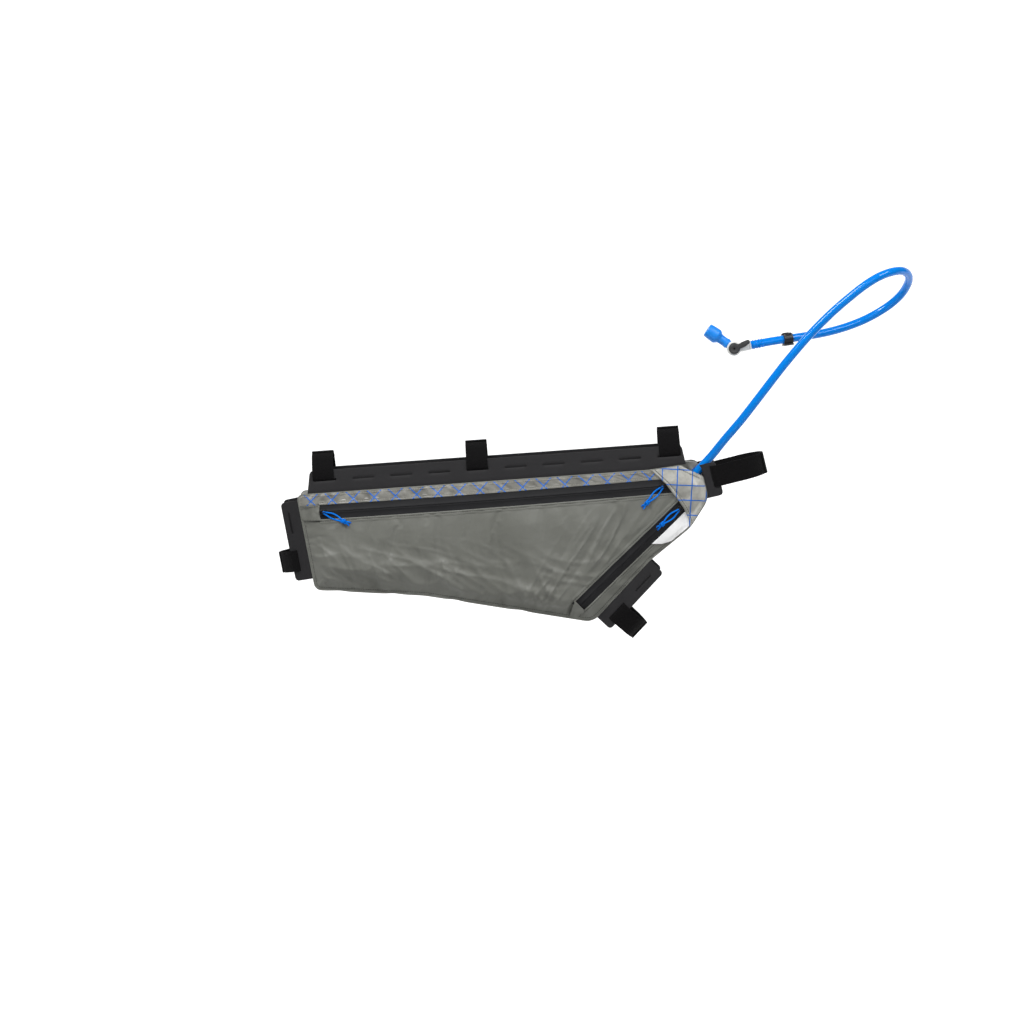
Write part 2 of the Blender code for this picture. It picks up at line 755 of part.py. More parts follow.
def strip_lean(strip):
    """The lean of a strip's middle plane towards the tube that it lies against, in radians."""
    strap = next(s for s in STRAPS if s.strip == strip.name)
    foot = EDGE_WIDTH / 2 - STRIP_THICKNESS / 2
    around = strap.diameter / 2 + STRAP_THICKNESS + 2 * LAID_GAP + STRIP_THICKNESS / 2
    reach = math.hypot(foot, strap.stand)
    return math.atan2(strap.stand, -foot) - math.asin(min(around / reach, 1)) - math.pi / 2


def strip_point(strip, side, along, up, out_of_plane=0.0):
    """A point on a strip's middle plane: side is -1 near and 1 far."""
    first, way, out = strip_frame(strip)
    lean = strip_lean(strip)
    foot = EDGE_WIDTH / 2 - STRIP_THICKNESS / 2
    lateral = foot - up * math.sin(lean) + out_of_plane * math.cos(lean)
    rise = STRIP_STAND + up * math.cos(lean) + out_of_plane * math.sin(lean)
    x, z = first + way * along + out * rise
    return Vector((x, side * lateral, z))


def strip_outline(strip):
    """A strip's edge in its own plane: its foot follows the bag's edge, and its outer corners are cut."""
    first, way, out = strip_frame(strip)
    edges = [border_between(strip.first, strip.last), border_between(strip.last, strip.first)[::-1]]
    rise = math.cos(strip_lean(strip))
    foot = [(float((p - first) @ way), float((p - first) @ out) / rise) for p in thinned(min(edges, key=len))]
    start, end = foot[0][0], foot[-1][0]
    corner, height = STRIP_CORNER, strip.height * STRIP_HEIGHT
    slant = corner if strip.name == "top_strip" else 0.0
    return [
        *foot,
        (end - slant / 2, height - corner),
        (end - slant / 2 - corner, height),
        (start + slant + corner, height),
        (start + slant, height - corner),
    ]


def slot_middles(strip):
    """How far along its foot each of a strip's slots is."""
    first, way, _ = strip_frame(strip)
    length = float((place(strip.last) - first) @ way)
    room = length - strip.first_slot * SLOT_PITCH - SLOT_LENGTH / 2 - STRIP_CORNER
    return [(strip.first_slot + index) * SLOT_PITCH for index in range(1 + max(0, int(room / SLOT_PITCH)))]


def build_strips():
    """Coated cloth strips with cut slots, sewn into the side seams in pairs."""
    for strip in STRIPS:
        _, way, _ = strip_frame(strip)
        outline = strip_outline(strip)
        rise, h, w = strip.rise * STRIP_HEIGHT, SLOT_HEIGHT / 2, SLOT_LENGTH / 2
        holes = [
            [(x - w, rise - h), (x - w, rise + h), (x + w, rise + h), (x + w, rise - h)] for x in slot_middles(strip)
        ]
        for side, label in ((-1, "near"), (1, "far")):
            plate = flat_curve(f"{strip.name}_{label}", [outline, *holes], STRIP_THICKNESS, "coated_strip")
            origin = strip_point(strip, side, 0, 0)
            upwards = strip_point(strip, side, 0, 1) - origin
            plate.matrix_world = frame_matrix(origin, (way[0], 0, way[1]), upwards)


def circle_points(centre, radius, count):
    return [
        np.array([radius * math.sin(2 * math.pi * k / count), centre + radius * math.cos(2 * math.pi * k / count)])
        for k in range(count)
    ]


def hull(points):
    """The convex hull of flat points, anticlockwise."""
    points = sorted(map(tuple, points))

    def chain(ordered):
        kept = []
        for p in ordered:
            while len(kept) > 1 and (
                (kept[-1][0] - kept[-2][0]) * (p[1] - kept[-2][1]) - (kept[-1][1] - kept[-2][1]) * (p[0] - kept[-2][0])
            ) <= 0:
                kept.pop()
            kept.append(p)
        return kept[:-1]

    return [np.array(p) for p in chain(points) + chain(points[::-1])]


def strap_section(strap, strip):
    """The strap's middle line in the plane across its tube, as (lateral, out from the bag's edge).

    It starts at the far slot's outer side, goes over the tube to the near slot, in through it,
    back between tube and bag and out through the far slot.
    """
    lean = strip_lean(strip)
    foot = EDGE_WIDTH / 2 - STRIP_THICKNESS / 2
    clear = STRIP_THICKNESS / 2 + LAID_GAP + STRAP_THICKNESS / 2

    def beside(up, out_of_plane):
        return np.array(
            [
                foot - up * math.sin(lean) + out_of_plane * math.cos(lean),
                STRIP_STAND + up * math.cos(lean) + out_of_plane * math.sin(lean),
            ]
        )

    wall = strap.diameter / 2 + LAID_GAP + STRAP_THICKNESS / 2
    ring = circle_points(strap.stand, wall, 32)
    rise, height = strip.rise * STRIP_HEIGHT, strip.height * STRIP_HEIGHT
    outside, edge, inside = beside(rise, clear), beside(height, clear), beside(rise, -clear)
    mirror = np.array([-1, 1])
    over = hull([*ring, outside, edge, outside * mirror, edge * mirror])
    under = hull([*ring, inside, inside * mirror])

    def run(loop, start, end):
        """The hull from one of its points to another, anticlockwise."""
        first = min(range(len(loop)), key=lambda i: np.linalg.norm(loop[i] - start))
        turned_loop = loop[first:] + loop[:first]
        last = min(range(len(loop)), key=lambda i: np.linalg.norm(turned_loop[i] - end))
        return turned_loop[: last + 1]

    return run(over, outside, outside * mirror), run(under, inside * mirror, inside)


def build_straps():
    """Hook-and-loop straps, each a closed loop whose end lies double over the tube and down the far side."""
    for strap in STRAPS:
        strip = next(s for s in STRIPS if s.name == strap.strip)
        over, under = strap_section(strap, strip)
        half = STRAP_THICKNESS / 2
        doubled_from, doubled_to = 2, round(len(over) * 0.62)
        line, outward = [], []
        for i, point in enumerate(over):
            if i == doubled_from:
                line.append(point + (over[i - 1] - point) * 0.02)
                outward.append(half)
            line.append(point)
            outward.append(half + (STRAP_THICKNESS if doubled_from <= i <= doubled_to else 0))
            if i == doubled_to:
                line.append(point + (over[i + 1] - point) * 0.05)
                outward.append(half)
        line += under
        outward += [half] * len(under)
        outer = offset_line(line, outward)
        inner = offset_line(line, [-half] * len(line))
        obj = flat_curve(strap.name, [outer, inner], STRAP_WIDTH, "hook_and_loop")
        first, way, out = strip_frame(strip)
        row = slot_middles(strip)
        x, z = first + way * row[round(strap.row_share * (len(row) - 1))]
        obj.matrix_world = frame_matrix((x, 0, z), (0, 1, 0), (out[0], 0, out[1]))


# Zip sliders and pulls

Pull = namedtuple("Pull", "name end tilt")


def zip_pulls():
    """The sliders' places on the zips, and the way that each pull hangs, in degrees from the front."""
    flap_edge = [place(s) for s in FLAP_REAR_EDGE]
    top = zip_edge(TOP_ZIP_REAR, TOP_ZIP_FRONT, TOP_ZIP_SAG, 0)
    front = zip_edge(FRONT_ZIP_FOOT, FRONT_ZIP_TOP, 0, 0)
    top_end = cut_at(extended(top, ZIP_WIDTH), flap_edge)[-1]
    front_end = cut_at(extended(front, ZIP_WIDTH), flap_edge)[-1]
    run_top = (top[-1] - top[-2]) / np.linalg.norm(top[-1] - top[-2])
    run_front = (front[-1] - front[-2]) / np.linalg.norm(front[-1] - front[-2])
    return [
        ("rear", top[0] + run_top * SLIDER_SETBACK, run_top, -23),
        ("top", top_end - run_top * SLIDER_SETBACK, run_top, -134),
        ("front", front_end - run_front * SLIDER_SETBACK, run_front, -139),
    ]


# A pull's middle line as shares of its length: along it and across it.
PULL_LOOP = [
    (0.03, 0.00),
    (0.12, 0.055),
    (0.28, 0.10),
    (0.46, 0.10),
    (0.62, 0.06),
    (0.74, 0.035),
    (0.80, 0.00),
    (0.74, -0.035),
    (0.62, -0.06),
    (0.46, -0.10),
    (0.28, -0.10),
    (0.12, -0.055),
]
PULL_TAILS = [[(0.78, 0.015), (0.90, 0.03), (1.02, 0.075)], [(0.78, -0.015), (0.90, -0.03), (1.0, -0.045)]]
KNOT_SHARE = 0.80
KNOT_SIZE = (0.150, 0.085, 0.085)  # as shares of the pull's length


def build_pulls():
    """Sliders that sit on the zips, each with a knotted loop of cord."""
    for label, spot, run, tilt in zip_pulls():
        height = side_height(*spot) + LAID_GAP + SLIDER_HEIGHT / 2
        slider = block(f"zip_slider_{label}", (SLIDER_LENGTH, SLIDER_WIDTH, SLIDER_HEIGHT), "slider_black")
        slope = [side_height(*(spot + run * s * SLIDER_LENGTH / 2)) for s in (-1, 1)]
        across = np.array([-run[1], run[0]])
        tip = [side_height(*(spot + across * s * SLIDER_WIDTH / 2)) for s in (-1, 1)]
        lift = 0.25 * (abs(slope[1] - slope[0]) + abs(tip[1] - tip[0]))
        slider.matrix_world = frame_matrix(
            (spot[0], -height - lift, spot[1]),
            (run[0] * SLIDER_LENGTH, slope[0] - slope[1], run[1] * SLIDER_LENGTH),
            (across[0] * SLIDER_WIDTH, tip[0] - tip[1], across[1] * SLIDER_WIDTH),
        )
        angle = math.radians(tilt)
        way = np.array([math.cos(angle), math.sin(angle)])
        side = np.array([-way[1], way[0]])
        rest = SLIDER_HEIGHT + 2 * LAID_GAP + PULL_CORD / 2

        def on_panel(share_along, share_across):
            x, z = spot + way * share_along * PULL_LENGTH + side * share_across * PULL_LENGTH
            settle = min(max((share_along * PULL_LENGTH - SLIDER_LENGTH * 0.5) / SLIDER_LENGTH, 0), 1)
            off_panel = rest + (LAID_GAP + PULL_CORD / 2 - rest) * settle
            knot_room = KNOT_SIZE[2] * PULL_LENGTH / 2 - PULL_CORD / 2
            off_panel += knot_room * min(max((share_along - 0.5) / 0.3, 0), 1)
            return (x, -side_height(x, z) - off_panel - 0.0002, z)

        loop = tube(f"zip_pull_{label}", [on_panel(*p) for p in PULL_LOOP], PULL_CORD, "cord_blue", cyclic=True)
        loop = as_mesh(loop)
        bm = bmesh.new()
        bmesh.ops.create_uvsphere(bm, u_segments=10, v_segments=6, radius=0.5)
        bmesh.ops.scale(bm, vec=[s * PULL_LENGTH for s in KNOT_SIZE], verts=bm.verts)
        knot = add_object(f"knot_{label}", mesh_from(bm, "knot"), "cord_blue")
        knot.matrix_world = frame_matrix(on_panel(KNOT_SHARE + 0.02, 0), (way[0], 0, way[1]), (side[0], 0, side[1]))
        combine(loop, knot, "UNION")
        for k, points in enumerate(PULL_TAILS):
            tail = as_mesh(tube(f"tail_{label}_{k}", [on_panel(*p) for p in points], PULL_CORD, "cord_blue"))
            combine(loop, tail, "UNION")


# Hose, clip and drinking valve

def build_hose():
    """The clear blue hose, and the sleeve in the port that it comes out of."""
    route = smooth_line(HOSE_ROUTE, 0.0082)
    tube("hose", [tuple(p) for p in route], HOSE_DIAMETER, "hose_blue", resolution=2)
    here, way = port_axis()
    bore = HOSE_DIAMETER / 2 + BORE_CLEARANCE
    rim = bore + CUFF_WALL
    sleeve = turned(
        "port_cuff",
        [(CUFF_LENGTH / 2, bore), (CUFF_LENGTH / 2, rim), (-CUFF_LENGTH / 2, rim), (-CUFF_LENGTH / 2, bore), (CUFF_LENGTH / 2, bore)],
        16,
        "light_cloth",
    )
    sleeve.matrix_world = frame_matrix(here - way * CUFF_LENGTH * 0.4, (0, 1, 0), way.cross(Vector((0, 1, 0))))


def build_clip():
    """A black clip round the hose, whose flat foot holds on the handlebar."""
    here = Vector(HOSE_ROUTE[CLIP_POINT])
    way = (Vector(HOSE_ROUTE[CLIP_POINT + 1]) - Vector(HOSE_ROUTE[CLIP_POINT - 1])).normalized()
    bore = HOSE_DIAMETER / 2 + BORE_CLEARANCE
    rim = bore + CLIP_WALL
    clip = turned(
        "hose_clip",
        [(CLIP_LENGTH / 2, bore), (CLIP_LENGTH / 2, rim), (-CLIP_LENGTH / 2, rim), (-CLIP_LENGTH / 2, bore), (CLIP_LENGTH / 2, bore)],
        20,
        "clip_black",
    )
    down = Vector((0, 1, 0)).cross(way).normalized()
    if down.z > 0:
        down = -down
    side = down.cross(way)
    clip.matrix_world = frame_matrix(here, side, down)
    foot = block("clip_foot", (CLIP_FOOT, CLIP_FOOT_THICKNESS, CLIP_LENGTH * 1.2), "clip_black")
    foot.matrix_world = frame_matrix(here + down * (CLIP_STAND - CLIP_FOOT_THICKNESS / 2), side, down)
    combine(clip, foot, "UNION")


def valve_frame():
    """The hose's end, the way on from it, and the way up beside it."""
    end = Vector(HOSE_ROUTE[-1])
    way = (end - Vector(HOSE_ROUTE[-2])).normalized()
    up = way.cross(Vector((0, 1, 0))).normalized()
    if up.z < 0:
        up = -up
    return end, way, up


def build_valve():
    """An elbow body with a shut-off lever on its near side, and a soft bite valve."""
    end, way, up = valve_frame()
    hub = end + way * (LAID_GAP + VALVE_BODY_LENGTH)
    body = turned(
        "valve_body",
        [
            (VALVE_BODY_LENGTH, 0),
            (VALVE_BODY_LENGTH, VALVE_BODY_DIAMETER / 2),
            (0, VALVE_BODY_DIAMETER / 2),
            (0, 0),
        ],
        16,
        "valve_white",
    )
    body.matrix_world = frame_matrix(end + way * LAID_GAP, (0, 1, 0), way.cross(Vector((0, 1, 0))))
    drum = turned(
        "valve_hub",
        [(HUB_WIDTH / 2, 0), (HUB_WIDTH / 2, HUB_DIAMETER / 2), (-HUB_WIDTH / 2, HUB_DIAMETER / 2), (-HUB_WIDTH / 2, 0)],
        24,
        "valve_white",
    )
    drum.matrix_world = frame_matrix(hub, way, up if way.cross(up).y < 0 else -up)
    combine(body, drum, "UNION")

    near = Vector((0, -1, 0))
    disc = turned(
        "valve_lever",
        [
            (LEVER_THICKNESS / 2, 0),
            (LEVER_THICKNESS / 2, LEVER_DISC_DIAMETER / 2),
            (-LEVER_THICKNESS / 2, LEVER_DISC_DIAMETER / 2),
            (-LEVER_THICKNESS / 2, 0),
        ],
        24,
        "lever_grey",
    )
    face = hub + near * (HUB_WIDTH / 2 + LEVER_CLEARANCE + LEVER_THICKNESS / 2)
    disc.matrix_world = frame_matrix(face, way, up if way.cross(up).y < 0 else -up)
    back = (-way * LEVER_LENGTH + up * LEVER_DISC_DIAMETER * 0.22).normalized()
    arm = block("lever_arm", (LEVER_LENGTH, LEVER_WIDTH, LEVER_THICKNESS * 0.9), "lever_grey")
    arm.matrix_world = frame_matrix(
        face + back * LEVER_LENGTH / 2 + up * (LEVER_DISC_DIAMETER - LEVER_WIDTH) * 0.35,
        back,
        up,
    )
    combine(disc, arm, "UNION")

    bend = Matrix.Rotation(math.radians(BITE_ANGLE), 3, Vector((0, 1, 0)))
    mouth = bend @ way
    if mouth.z < way.z:
        mouth = bend.inverted() @ way
    start = hub + mouth * (HUB_DIAMETER / 2 + LAID_GAP)
    neck, wide = BITE_NECK_DIAMETER / 2, BITE_DIAMETER / 2
    bite = turned(
        "bite_valve",
        [
            (BITE_LENGTH, 0),
            (BITE_LENGTH, wide * 0.90),
            (BITE_LENGTH * 0.97, wide),
            (BITE_LENGTH * 0.62, wide * 0.98),
            (BITE_LENGTH * 0.42, neck * 0.97),
            (0, neck),
            (0, 0),
        ],
        16,
        "bite_blue",
    )
    bite.matrix_world = frame_matrix(start, (0, 1, 0), mouth.cross(Vector((0, 1, 0))))


build_panels()
build_strips()
build_straps()
build_pulls()
build_hose()
build_clip()
build_valve()
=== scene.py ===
"""Bicycle frame bag with its lash strips, hook-and-loop straps and drinking hose, as it hangs in a frame."""

import math
import random

import bmesh
import bpy
import numpy as np
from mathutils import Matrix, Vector, noise
from mathutils.bvhtree import BVHTree


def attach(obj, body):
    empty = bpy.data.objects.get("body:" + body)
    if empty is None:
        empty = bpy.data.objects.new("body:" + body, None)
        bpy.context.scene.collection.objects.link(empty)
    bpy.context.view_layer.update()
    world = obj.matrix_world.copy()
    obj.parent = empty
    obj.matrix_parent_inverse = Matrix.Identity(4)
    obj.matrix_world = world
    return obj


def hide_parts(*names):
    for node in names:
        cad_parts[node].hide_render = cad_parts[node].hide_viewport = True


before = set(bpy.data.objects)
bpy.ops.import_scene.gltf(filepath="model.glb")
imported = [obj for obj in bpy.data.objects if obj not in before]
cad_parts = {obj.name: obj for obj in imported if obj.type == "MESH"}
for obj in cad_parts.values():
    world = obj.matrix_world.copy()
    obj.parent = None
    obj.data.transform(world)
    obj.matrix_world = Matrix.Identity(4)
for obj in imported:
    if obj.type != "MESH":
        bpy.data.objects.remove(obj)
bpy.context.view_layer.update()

# Camera and studio. The camera stands a little above the bag, 3.6 m to its near side. The bag hangs in front
# of a pale sweep, lit from above its rear end, more weakly from its front end, and faintly from the camera's side.
CAMERA_PLACE = Vector((0.0744, -3.65, 0.3144))
CAMERA_TARGET = Vector((0.0408, -0.025, -0.0624))
VIEW_WIDTH = 1.2288  # of the picture, at the bag's near side
FLOOR_HEIGHT = -0.80
FLOOR_WIDTH, FLOOR_DEPTH, FLOOR_START = 14, 7, -4.5
SWEEP_RADIUS, SWEEP_LENGTH = 1.5, 12
LIGHT_TARGET = Vector((0.1, 0, 0))


def linear(hex_colour):
    """An sRGB hex colour as a linear RGBA value."""
    parts = [int(hex_colour[i : i + 2], 16) / 255 for i in (1, 3, 5)]
    return [c / 12.92 if c <= 0.04045 else ((c + 0.055) / 1.055) ** 2.4 for c in parts] + [1.0]


def add_node(tree, kind, feeds=None, into=None, **settings):
    """Adds a node with its settings and links.

    feeds gives an input's source or plain value, and into the socket that an output goes to. A setting that isn't
    a property of the node is the name of an input.
    """
    made = tree.nodes.new(kind)
    for key, value in settings.items():
        if hasattr(made, key):
            setattr(made, key, value)
        else:
            made.inputs[key.replace("_", " ").title()].default_value = value
    for socket, source in (feeds or {}).items():
        if isinstance(source, bpy.types.NodeSocket):
            tree.links.new(source, made.inputs[socket])
        else:
            made.inputs[socket].default_value = source
    for output, socket in (into or {}).items():
        tree.links.new(made.outputs[output], socket)
    return made


def new_material(name, colour, roughness, **settings):
    """A Principled material with plain values. Returns the material, its node tree and its shader."""
    made = bpy.data.materials.new(name)
    made.use_nodes = True
    shader = made.node_tree.nodes["Principled BSDF"]
    shader.inputs["Base Color"].default_value = linear(colour)
    shader.inputs["Roughness"].default_value = roughness
    for key, value in settings.items():
        shader.inputs[key.replace("_", " ")].default_value = value
    return made, made.node_tree, shader


def clear_selection():
    bpy.ops.object.select_all(action="DESELECT")


def select_only(*objects):
    clear_selection()
    for obj in objects:
        obj.select_set(True)
    bpy.context.view_layer.objects.active = objects[0]


clear_selection()
bpy.ops.object.camera_add(location=CAMERA_PLACE)
camera = bpy.context.object
sight = CAMERA_TARGET - CAMERA_PLACE
camera.rotation_mode = "QUATERNION"
camera.rotation_quaternion = sight.to_track_quat("-Z", "Y")
camera.data.lens = camera.data.sensor_width * sight.length / VIEW_WIDTH
camera.data.clip_end = 50
bpy.context.scene.camera = camera

# Matt white paint, no gloss, with a painted glow: it glows brighter towards the wall behind the bag, painted light
# where more light would fall.
backdrop_glow, tree, shader = new_material("matt_white_glowing_backdrop", "#D4D4D3", 0.9)
shader.inputs["Emission Color"].default_value = (1, 1, 1, 1)
depth = add_node(tree, "ShaderNodeSeparateXYZ", {"Vector": add_node(tree, "ShaderNodeTexCoord").outputs["Object"]})
add_node(
    tree,
    "ShaderNodeMapRange",
    {"Value": depth.outputs["Y"], "From Min": -0.1, "From Max": 0.42, "To Min": 0.02, "To Max": 0.86},
    {"Result": shader.inputs["Emission Strength"]},
    interpolation_type="SMOOTHSTEP",
)
bpy.ops.mesh.primitive_grid_add(x_subdivisions=2, y_subdivisions=40, size=1)
sweep = bpy.context.object
sweep.name = "studio_sweep"
for vert in sweep.data.vertices:
    along = (vert.co.y + 0.5) * SWEEP_LENGTH
    turn = min(max((along - FLOOR_DEPTH) / SWEEP_RADIUS, 0), math.pi / 2)
    past = max(along - FLOOR_DEPTH - SWEEP_RADIUS * math.pi / 2, 0)
    y = FLOOR_START + min(along, FLOOR_DEPTH) + SWEEP_RADIUS * math.sin(turn)
    vert.co = (vert.co.x * FLOOR_WIDTH, y, FLOOR_HEIGHT + SWEEP_RADIUS * (1 - math.cos(turn)) + past)
sweep.data.materials.append(backdrop_glow)
bpy.ops.object.shade_smooth()

world = bpy.data.worlds.new("studio")
world.use_nodes = True
world.node_tree.nodes["Background"].inputs["Color"].default_value = linear("#F3F5F8")
world.node_tree.nodes["Background"].inputs["Strength"].default_value = 0.17
bpy.context.scene.world = world
bpy.context.scene.view_settings.view_transform = "Standard"

for name, place, size, power in (
    ("key_softbox", (-1.0, -1.3, 2.0), 1.0, 56),
    ("front_softbox", (0.6, -3.2, 1.5), 1.6, 11),
    ("rim_softbox", (1.7, -1.3, 1.6), 1.0, 30),
):
    bpy.ops.object.light_add(type="AREA", location=place)
    light = bpy.context.object
    light.name = name
    light.data.size = size
    light.data.energy = power
    light.rotation_euler = (LIGHT_TARGET - light.location).to_track_quat("-Z", "Y").to_euler()


# Drinking hose. A clear blue polyurethane tube of 10 mm, pushed on the valve's barb; its bore is drawn darker, as
# painted shade inside the tube. It comes out of the port in the bag's nose, goes up past the stem, turns back in a wide
# loop and lies in the clip.
HOSE_DIAMETER = 0.0100
BORE_DIAMETER = 0.0062
HOSE_SPACING = 0.0042  # of its rings
RIB_COUNT, RIB_START, RIB_PITCH, RIB_THICKNESS, RIB_SUNK = 4, 0.0028, 0.0036, 0.0018, 0.0002
HOSE_ROUTE = [
    (0.2544, -0.0160, -0.0258),
    (0.2649, -0.0165, -0.0122),
    (0.2728, -0.0174, -0.0032),
    (0.2806, -0.0200, 0.0060),
    (0.2888, -0.0245, 0.0170),
    (0.2972, -0.0295, 0.0281),
    (0.3138, -0.0360, 0.0487),
    (0.3298, -0.0395, 0.0700),
    (0.3456, -0.0415, 0.0912),
    (0.3621, -0.0425, 0.1130),
    (0.3775, -0.0430, 0.1319),
    (0.3926, -0.0432, 0.1495),
    (0.4087, -0.0434, 0.1664),
    (0.4244, -0.0436, 0.1815),
    (0.4415, -0.0440, 0.1962),
    (0.4578, -0.0440, 0.2091),
    (0.4746, -0.0416, 0.2194),
    (0.4912, -0.0330, 0.2252),
    (0.5053, -0.0192, 0.2261),
    (0.5144, -0.0020, 0.2211),
    (0.5169, 0.0155, 0.2115),
    (0.5114, 0.0310, 0.1978),
    (0.5000, 0.0400, 0.1853),
    (0.4862, 0.0436, 0.1754),
    (0.4700, 0.0426, 0.1666),
    (0.4528, 0.0376, 0.1597),
    (0.4335, 0.0296, 0.1540),
    (0.4131, 0.0196, 0.1498),
    (0.3893, 0.0086, 0.1465),
    (0.3712, 0.0026, 0.1441),
    (0.3584, 0.0006, 0.1423),
    (0.3458, 0.0000, 0.1402),
    (0.3275, 0.0000, 0.1368),
]
HOSE_EXIT = HOSE_ROUTE[1]


def smooth_line(points, spacing):
    """Points about spacing apart on a smooth curve through the given points."""
    given = [np.array(p, float) for p in points]
    given = [2 * given[0] - given[1], *given, 2 * given[-1] - given[-2]]
    fine = []
    for a, b, c, d in zip(given, given[1:], given[2:], given[3:]):
        for t in np.linspace(0, 1, 12, endpoint=False):
            bend = (2 * a - 5 * b + 4 * c - d) * t**2 + (3 * b - a - 3 * c + d) * t**3
            fine.append(0.5 * (2 * b + (c - a) * t + bend))
    return even_line([*fine, given[-2]], spacing)


def even_line(points, spacing=None, steps=None):
    """The same line with points about spacing apart, or with so many even steps."""
    points = np.array(points, float)
    along = np.concatenate([[0], np.cumsum(np.linalg.norm(np.diff(points, axis=0), axis=1))])
    steps = steps or max(1, round(along[-1] / spacing))
    at = np.linspace(0, along[-1], steps + 1)
    return np.stack([np.interp(at, along, points[:, k]) for k in range(points.shape[1])], axis=1)


def round_cords(name, lines, diameter, material=None, cyclic=False, resolution=4):
    """A curve object: a round cord along each of the lines."""
    curve = bpy.data.curves.new(name, "CURVE")
    curve.dimensions = "3D"
    curve.bevel_depth = diameter / 2
    curve.bevel_resolution = resolution
    curve.use_fill_caps = not cyclic
    for line in lines:
        spline = curve.splines.new("POLY")
        spline.points.add(len(line) - 1)
        for point, spot in zip(spline.points, line):
            point.co = (*spot, 1)
        spline.use_cyclic_u = cyclic
    if material:
        curve.materials.append(material)
    obj = bpy.data.objects.new(name, curve)
    bpy.context.collection.objects.link(obj)
    return obj


# Clear polyurethane, extruded: glassy skin, light passes through its wall to the darker core in the bore, whose darker
# blue is painted shade.
hose_material, _, _ = new_material(
    "clear_blue_polyurethane", "#0089F0", 0.08, IOR=1.45, Transmission_Weight=0.14, Specular_IOR_Level=0.34
)
# The inside of the same tube: a darker core, painted shade inside the hollow.
bore_shade_material, _, _ = new_material("shaded_blue_bore", "#006FD8", 0.25)

hose_line = smooth_line(HOSE_ROUTE, HOSE_SPACING)
hose = round_cords("drinking_hose", [hose_line], HOSE_DIAMETER, hose_material)
# The bore's darker core is painted shade inside the tube.
hose_bore_shade = round_cords("hose_bore", [hose_line[1:-1]], BORE_DIAMETER, bore_shade_material)

# Ridges where the tube is stretched over the barb's rings.
way = hose_line[-1] - hose_line[-2]
way /= np.linalg.norm(way)
across = np.array([0.0, 1.0, 0.0])
up = np.cross(way, across)
ribs = []
for step in range(RIB_COUNT):
    centre = hose_line[-1] - way * (RIB_START + RIB_PITCH * step)
    turns = np.linspace(0, 2 * math.pi, 24, endpoint=False)
    ribs.append([centre + (across * math.cos(t) + up * math.sin(t)) * (HOSE_DIAMETER / 2 - RIB_SUNK) for t in turns])
hose_ribs = round_cords("hose_ribs", ribs, RIB_THICKNESS, hose_material, cyclic=True, resolution=3)


# The bag's shape. A flat bag of coated cloth, 493 x 191 mm, cut to the frame's triangle, with two sides and
# a 50 mm gusset sewn between them. Seams are places on its outline, as shares of its length and height.
BAG_LENGTH = 0.4932
BAG_HEIGHT = 0.1914
EDGE_WIDTH = 0.050
BULGE = 0.008
BULGE_REACH = 0.040
ORIGIN_SHARE = 0.4404
BAG_TOP = -0.00298
BORDER_SPACING = 0.0012
OUTLINE = [  # along, down, radius: rear top, rear bottom, bottom, front bottom, front, nose, front top, top
    (0.000, 0.207, 0.031),
    (0.044, 0.799, 0.045),
    (0.311, 0.834, 0.60),
    (0.720, 1.000, 0.095),
    (0.859, 0.611, 0.50),
    (0.956, 0.404, 0.21),
    (1.000, 0.223, 0.125),
    (0.978, 0.000, 0.052),
    (0.854, 0.049, 0.42),
]


def place(along, down):
    """A spot given in shares of the bag's length and height, as (x, z) in metres."""
    return np.array([(along - ORIGIN_SHARE) * BAG_LENGTH, BAG_TOP - down * BAG_HEIGHT])


def rounded_outline():
    """The bag's outline anticlockwise seen from the near side, with its corners as arcs."""
    corners = [place(along, down) for along, down, _ in OUTLINE]
    line = []
    for i, here in enumerate(corners):
        before, after = corners[i - 1], corners[(i + 1) % len(corners)]
        way_in = (here - before) / np.linalg.norm(here - before)
        way_out = (after - here) / np.linalg.norm(after - here)
        turn = math.atan2(way_in[0] * way_out[1] - way_in[1] * way_out[0], way_in @ way_out)
        radius = OUTLINE[i][2] * BAG_HEIGHT
        start = here - way_in * radius * math.tan(abs(turn) / 2)
        inward = np.array([-way_in[1], way_in[0]]) * math.copysign(1, turn)
        steps = max(3, math.ceil(math.degrees(abs(turn)) / 8))
        for angle in (turn * k / steps for k in range(steps + 1)):
            spoke = -inward
            swung = (
                spoke[0] * math.cos(angle) - spoke[1] * math.sin(angle),
                spoke[0] * math.sin(angle) + spoke[1] * math.cos(angle),
            )
            line.append(start + inward * radius + np.array(swung) * radius)
    return np.array(line)


BORDER = even_line(np.vstack([rounded_outline(), rounded_outline()[:1]]), BORDER_SPACING)[:-1]


def border_number(spot):
    return int(np.linalg.norm(BORDER - spot, axis=1).argmin())


def border_between(first, last):
    """The outline's points from the one nearest the first spot to the one nearest the last, anticlockwise."""
    start, end = border_number(first), border_number(last)
    if end <= start:
        end += len(BORDER)
    return np.array([BORDER[i % len(BORDER)] for i in range(start, end + 1)])


def edge_distance(x, z):
    """How far a point is from the bag's outline."""
    return float(np.linalg.norm(BORDER - (x, z), axis=1).min())


def stretched_grid(bottom, top, rear, front, columns, rows):
    """Spots of a grid stretched between four edge lines, as [column][row]."""
    bottom, top = (even_line(edge, steps=columns) for edge in (bottom, top))
    rear, front = (even_line(edge, steps=rows) for edge in (rear, front))
    u = np.linspace(0, 1, columns + 1)[:, None, None]
    v = np.linspace(0, 1, rows + 1)[None, :, None]
    lengthways = (1 - v) * bottom[:, None] + v * top[:, None]
    upwards = (1 - u) * rear[None] + u * front[None]
    flat = (1 - v) * ((1 - u) * bottom[0] + u * bottom[-1]) + v * ((1 - u) * top[0] + u * top[-1])
    return lengthways + upwards - flat


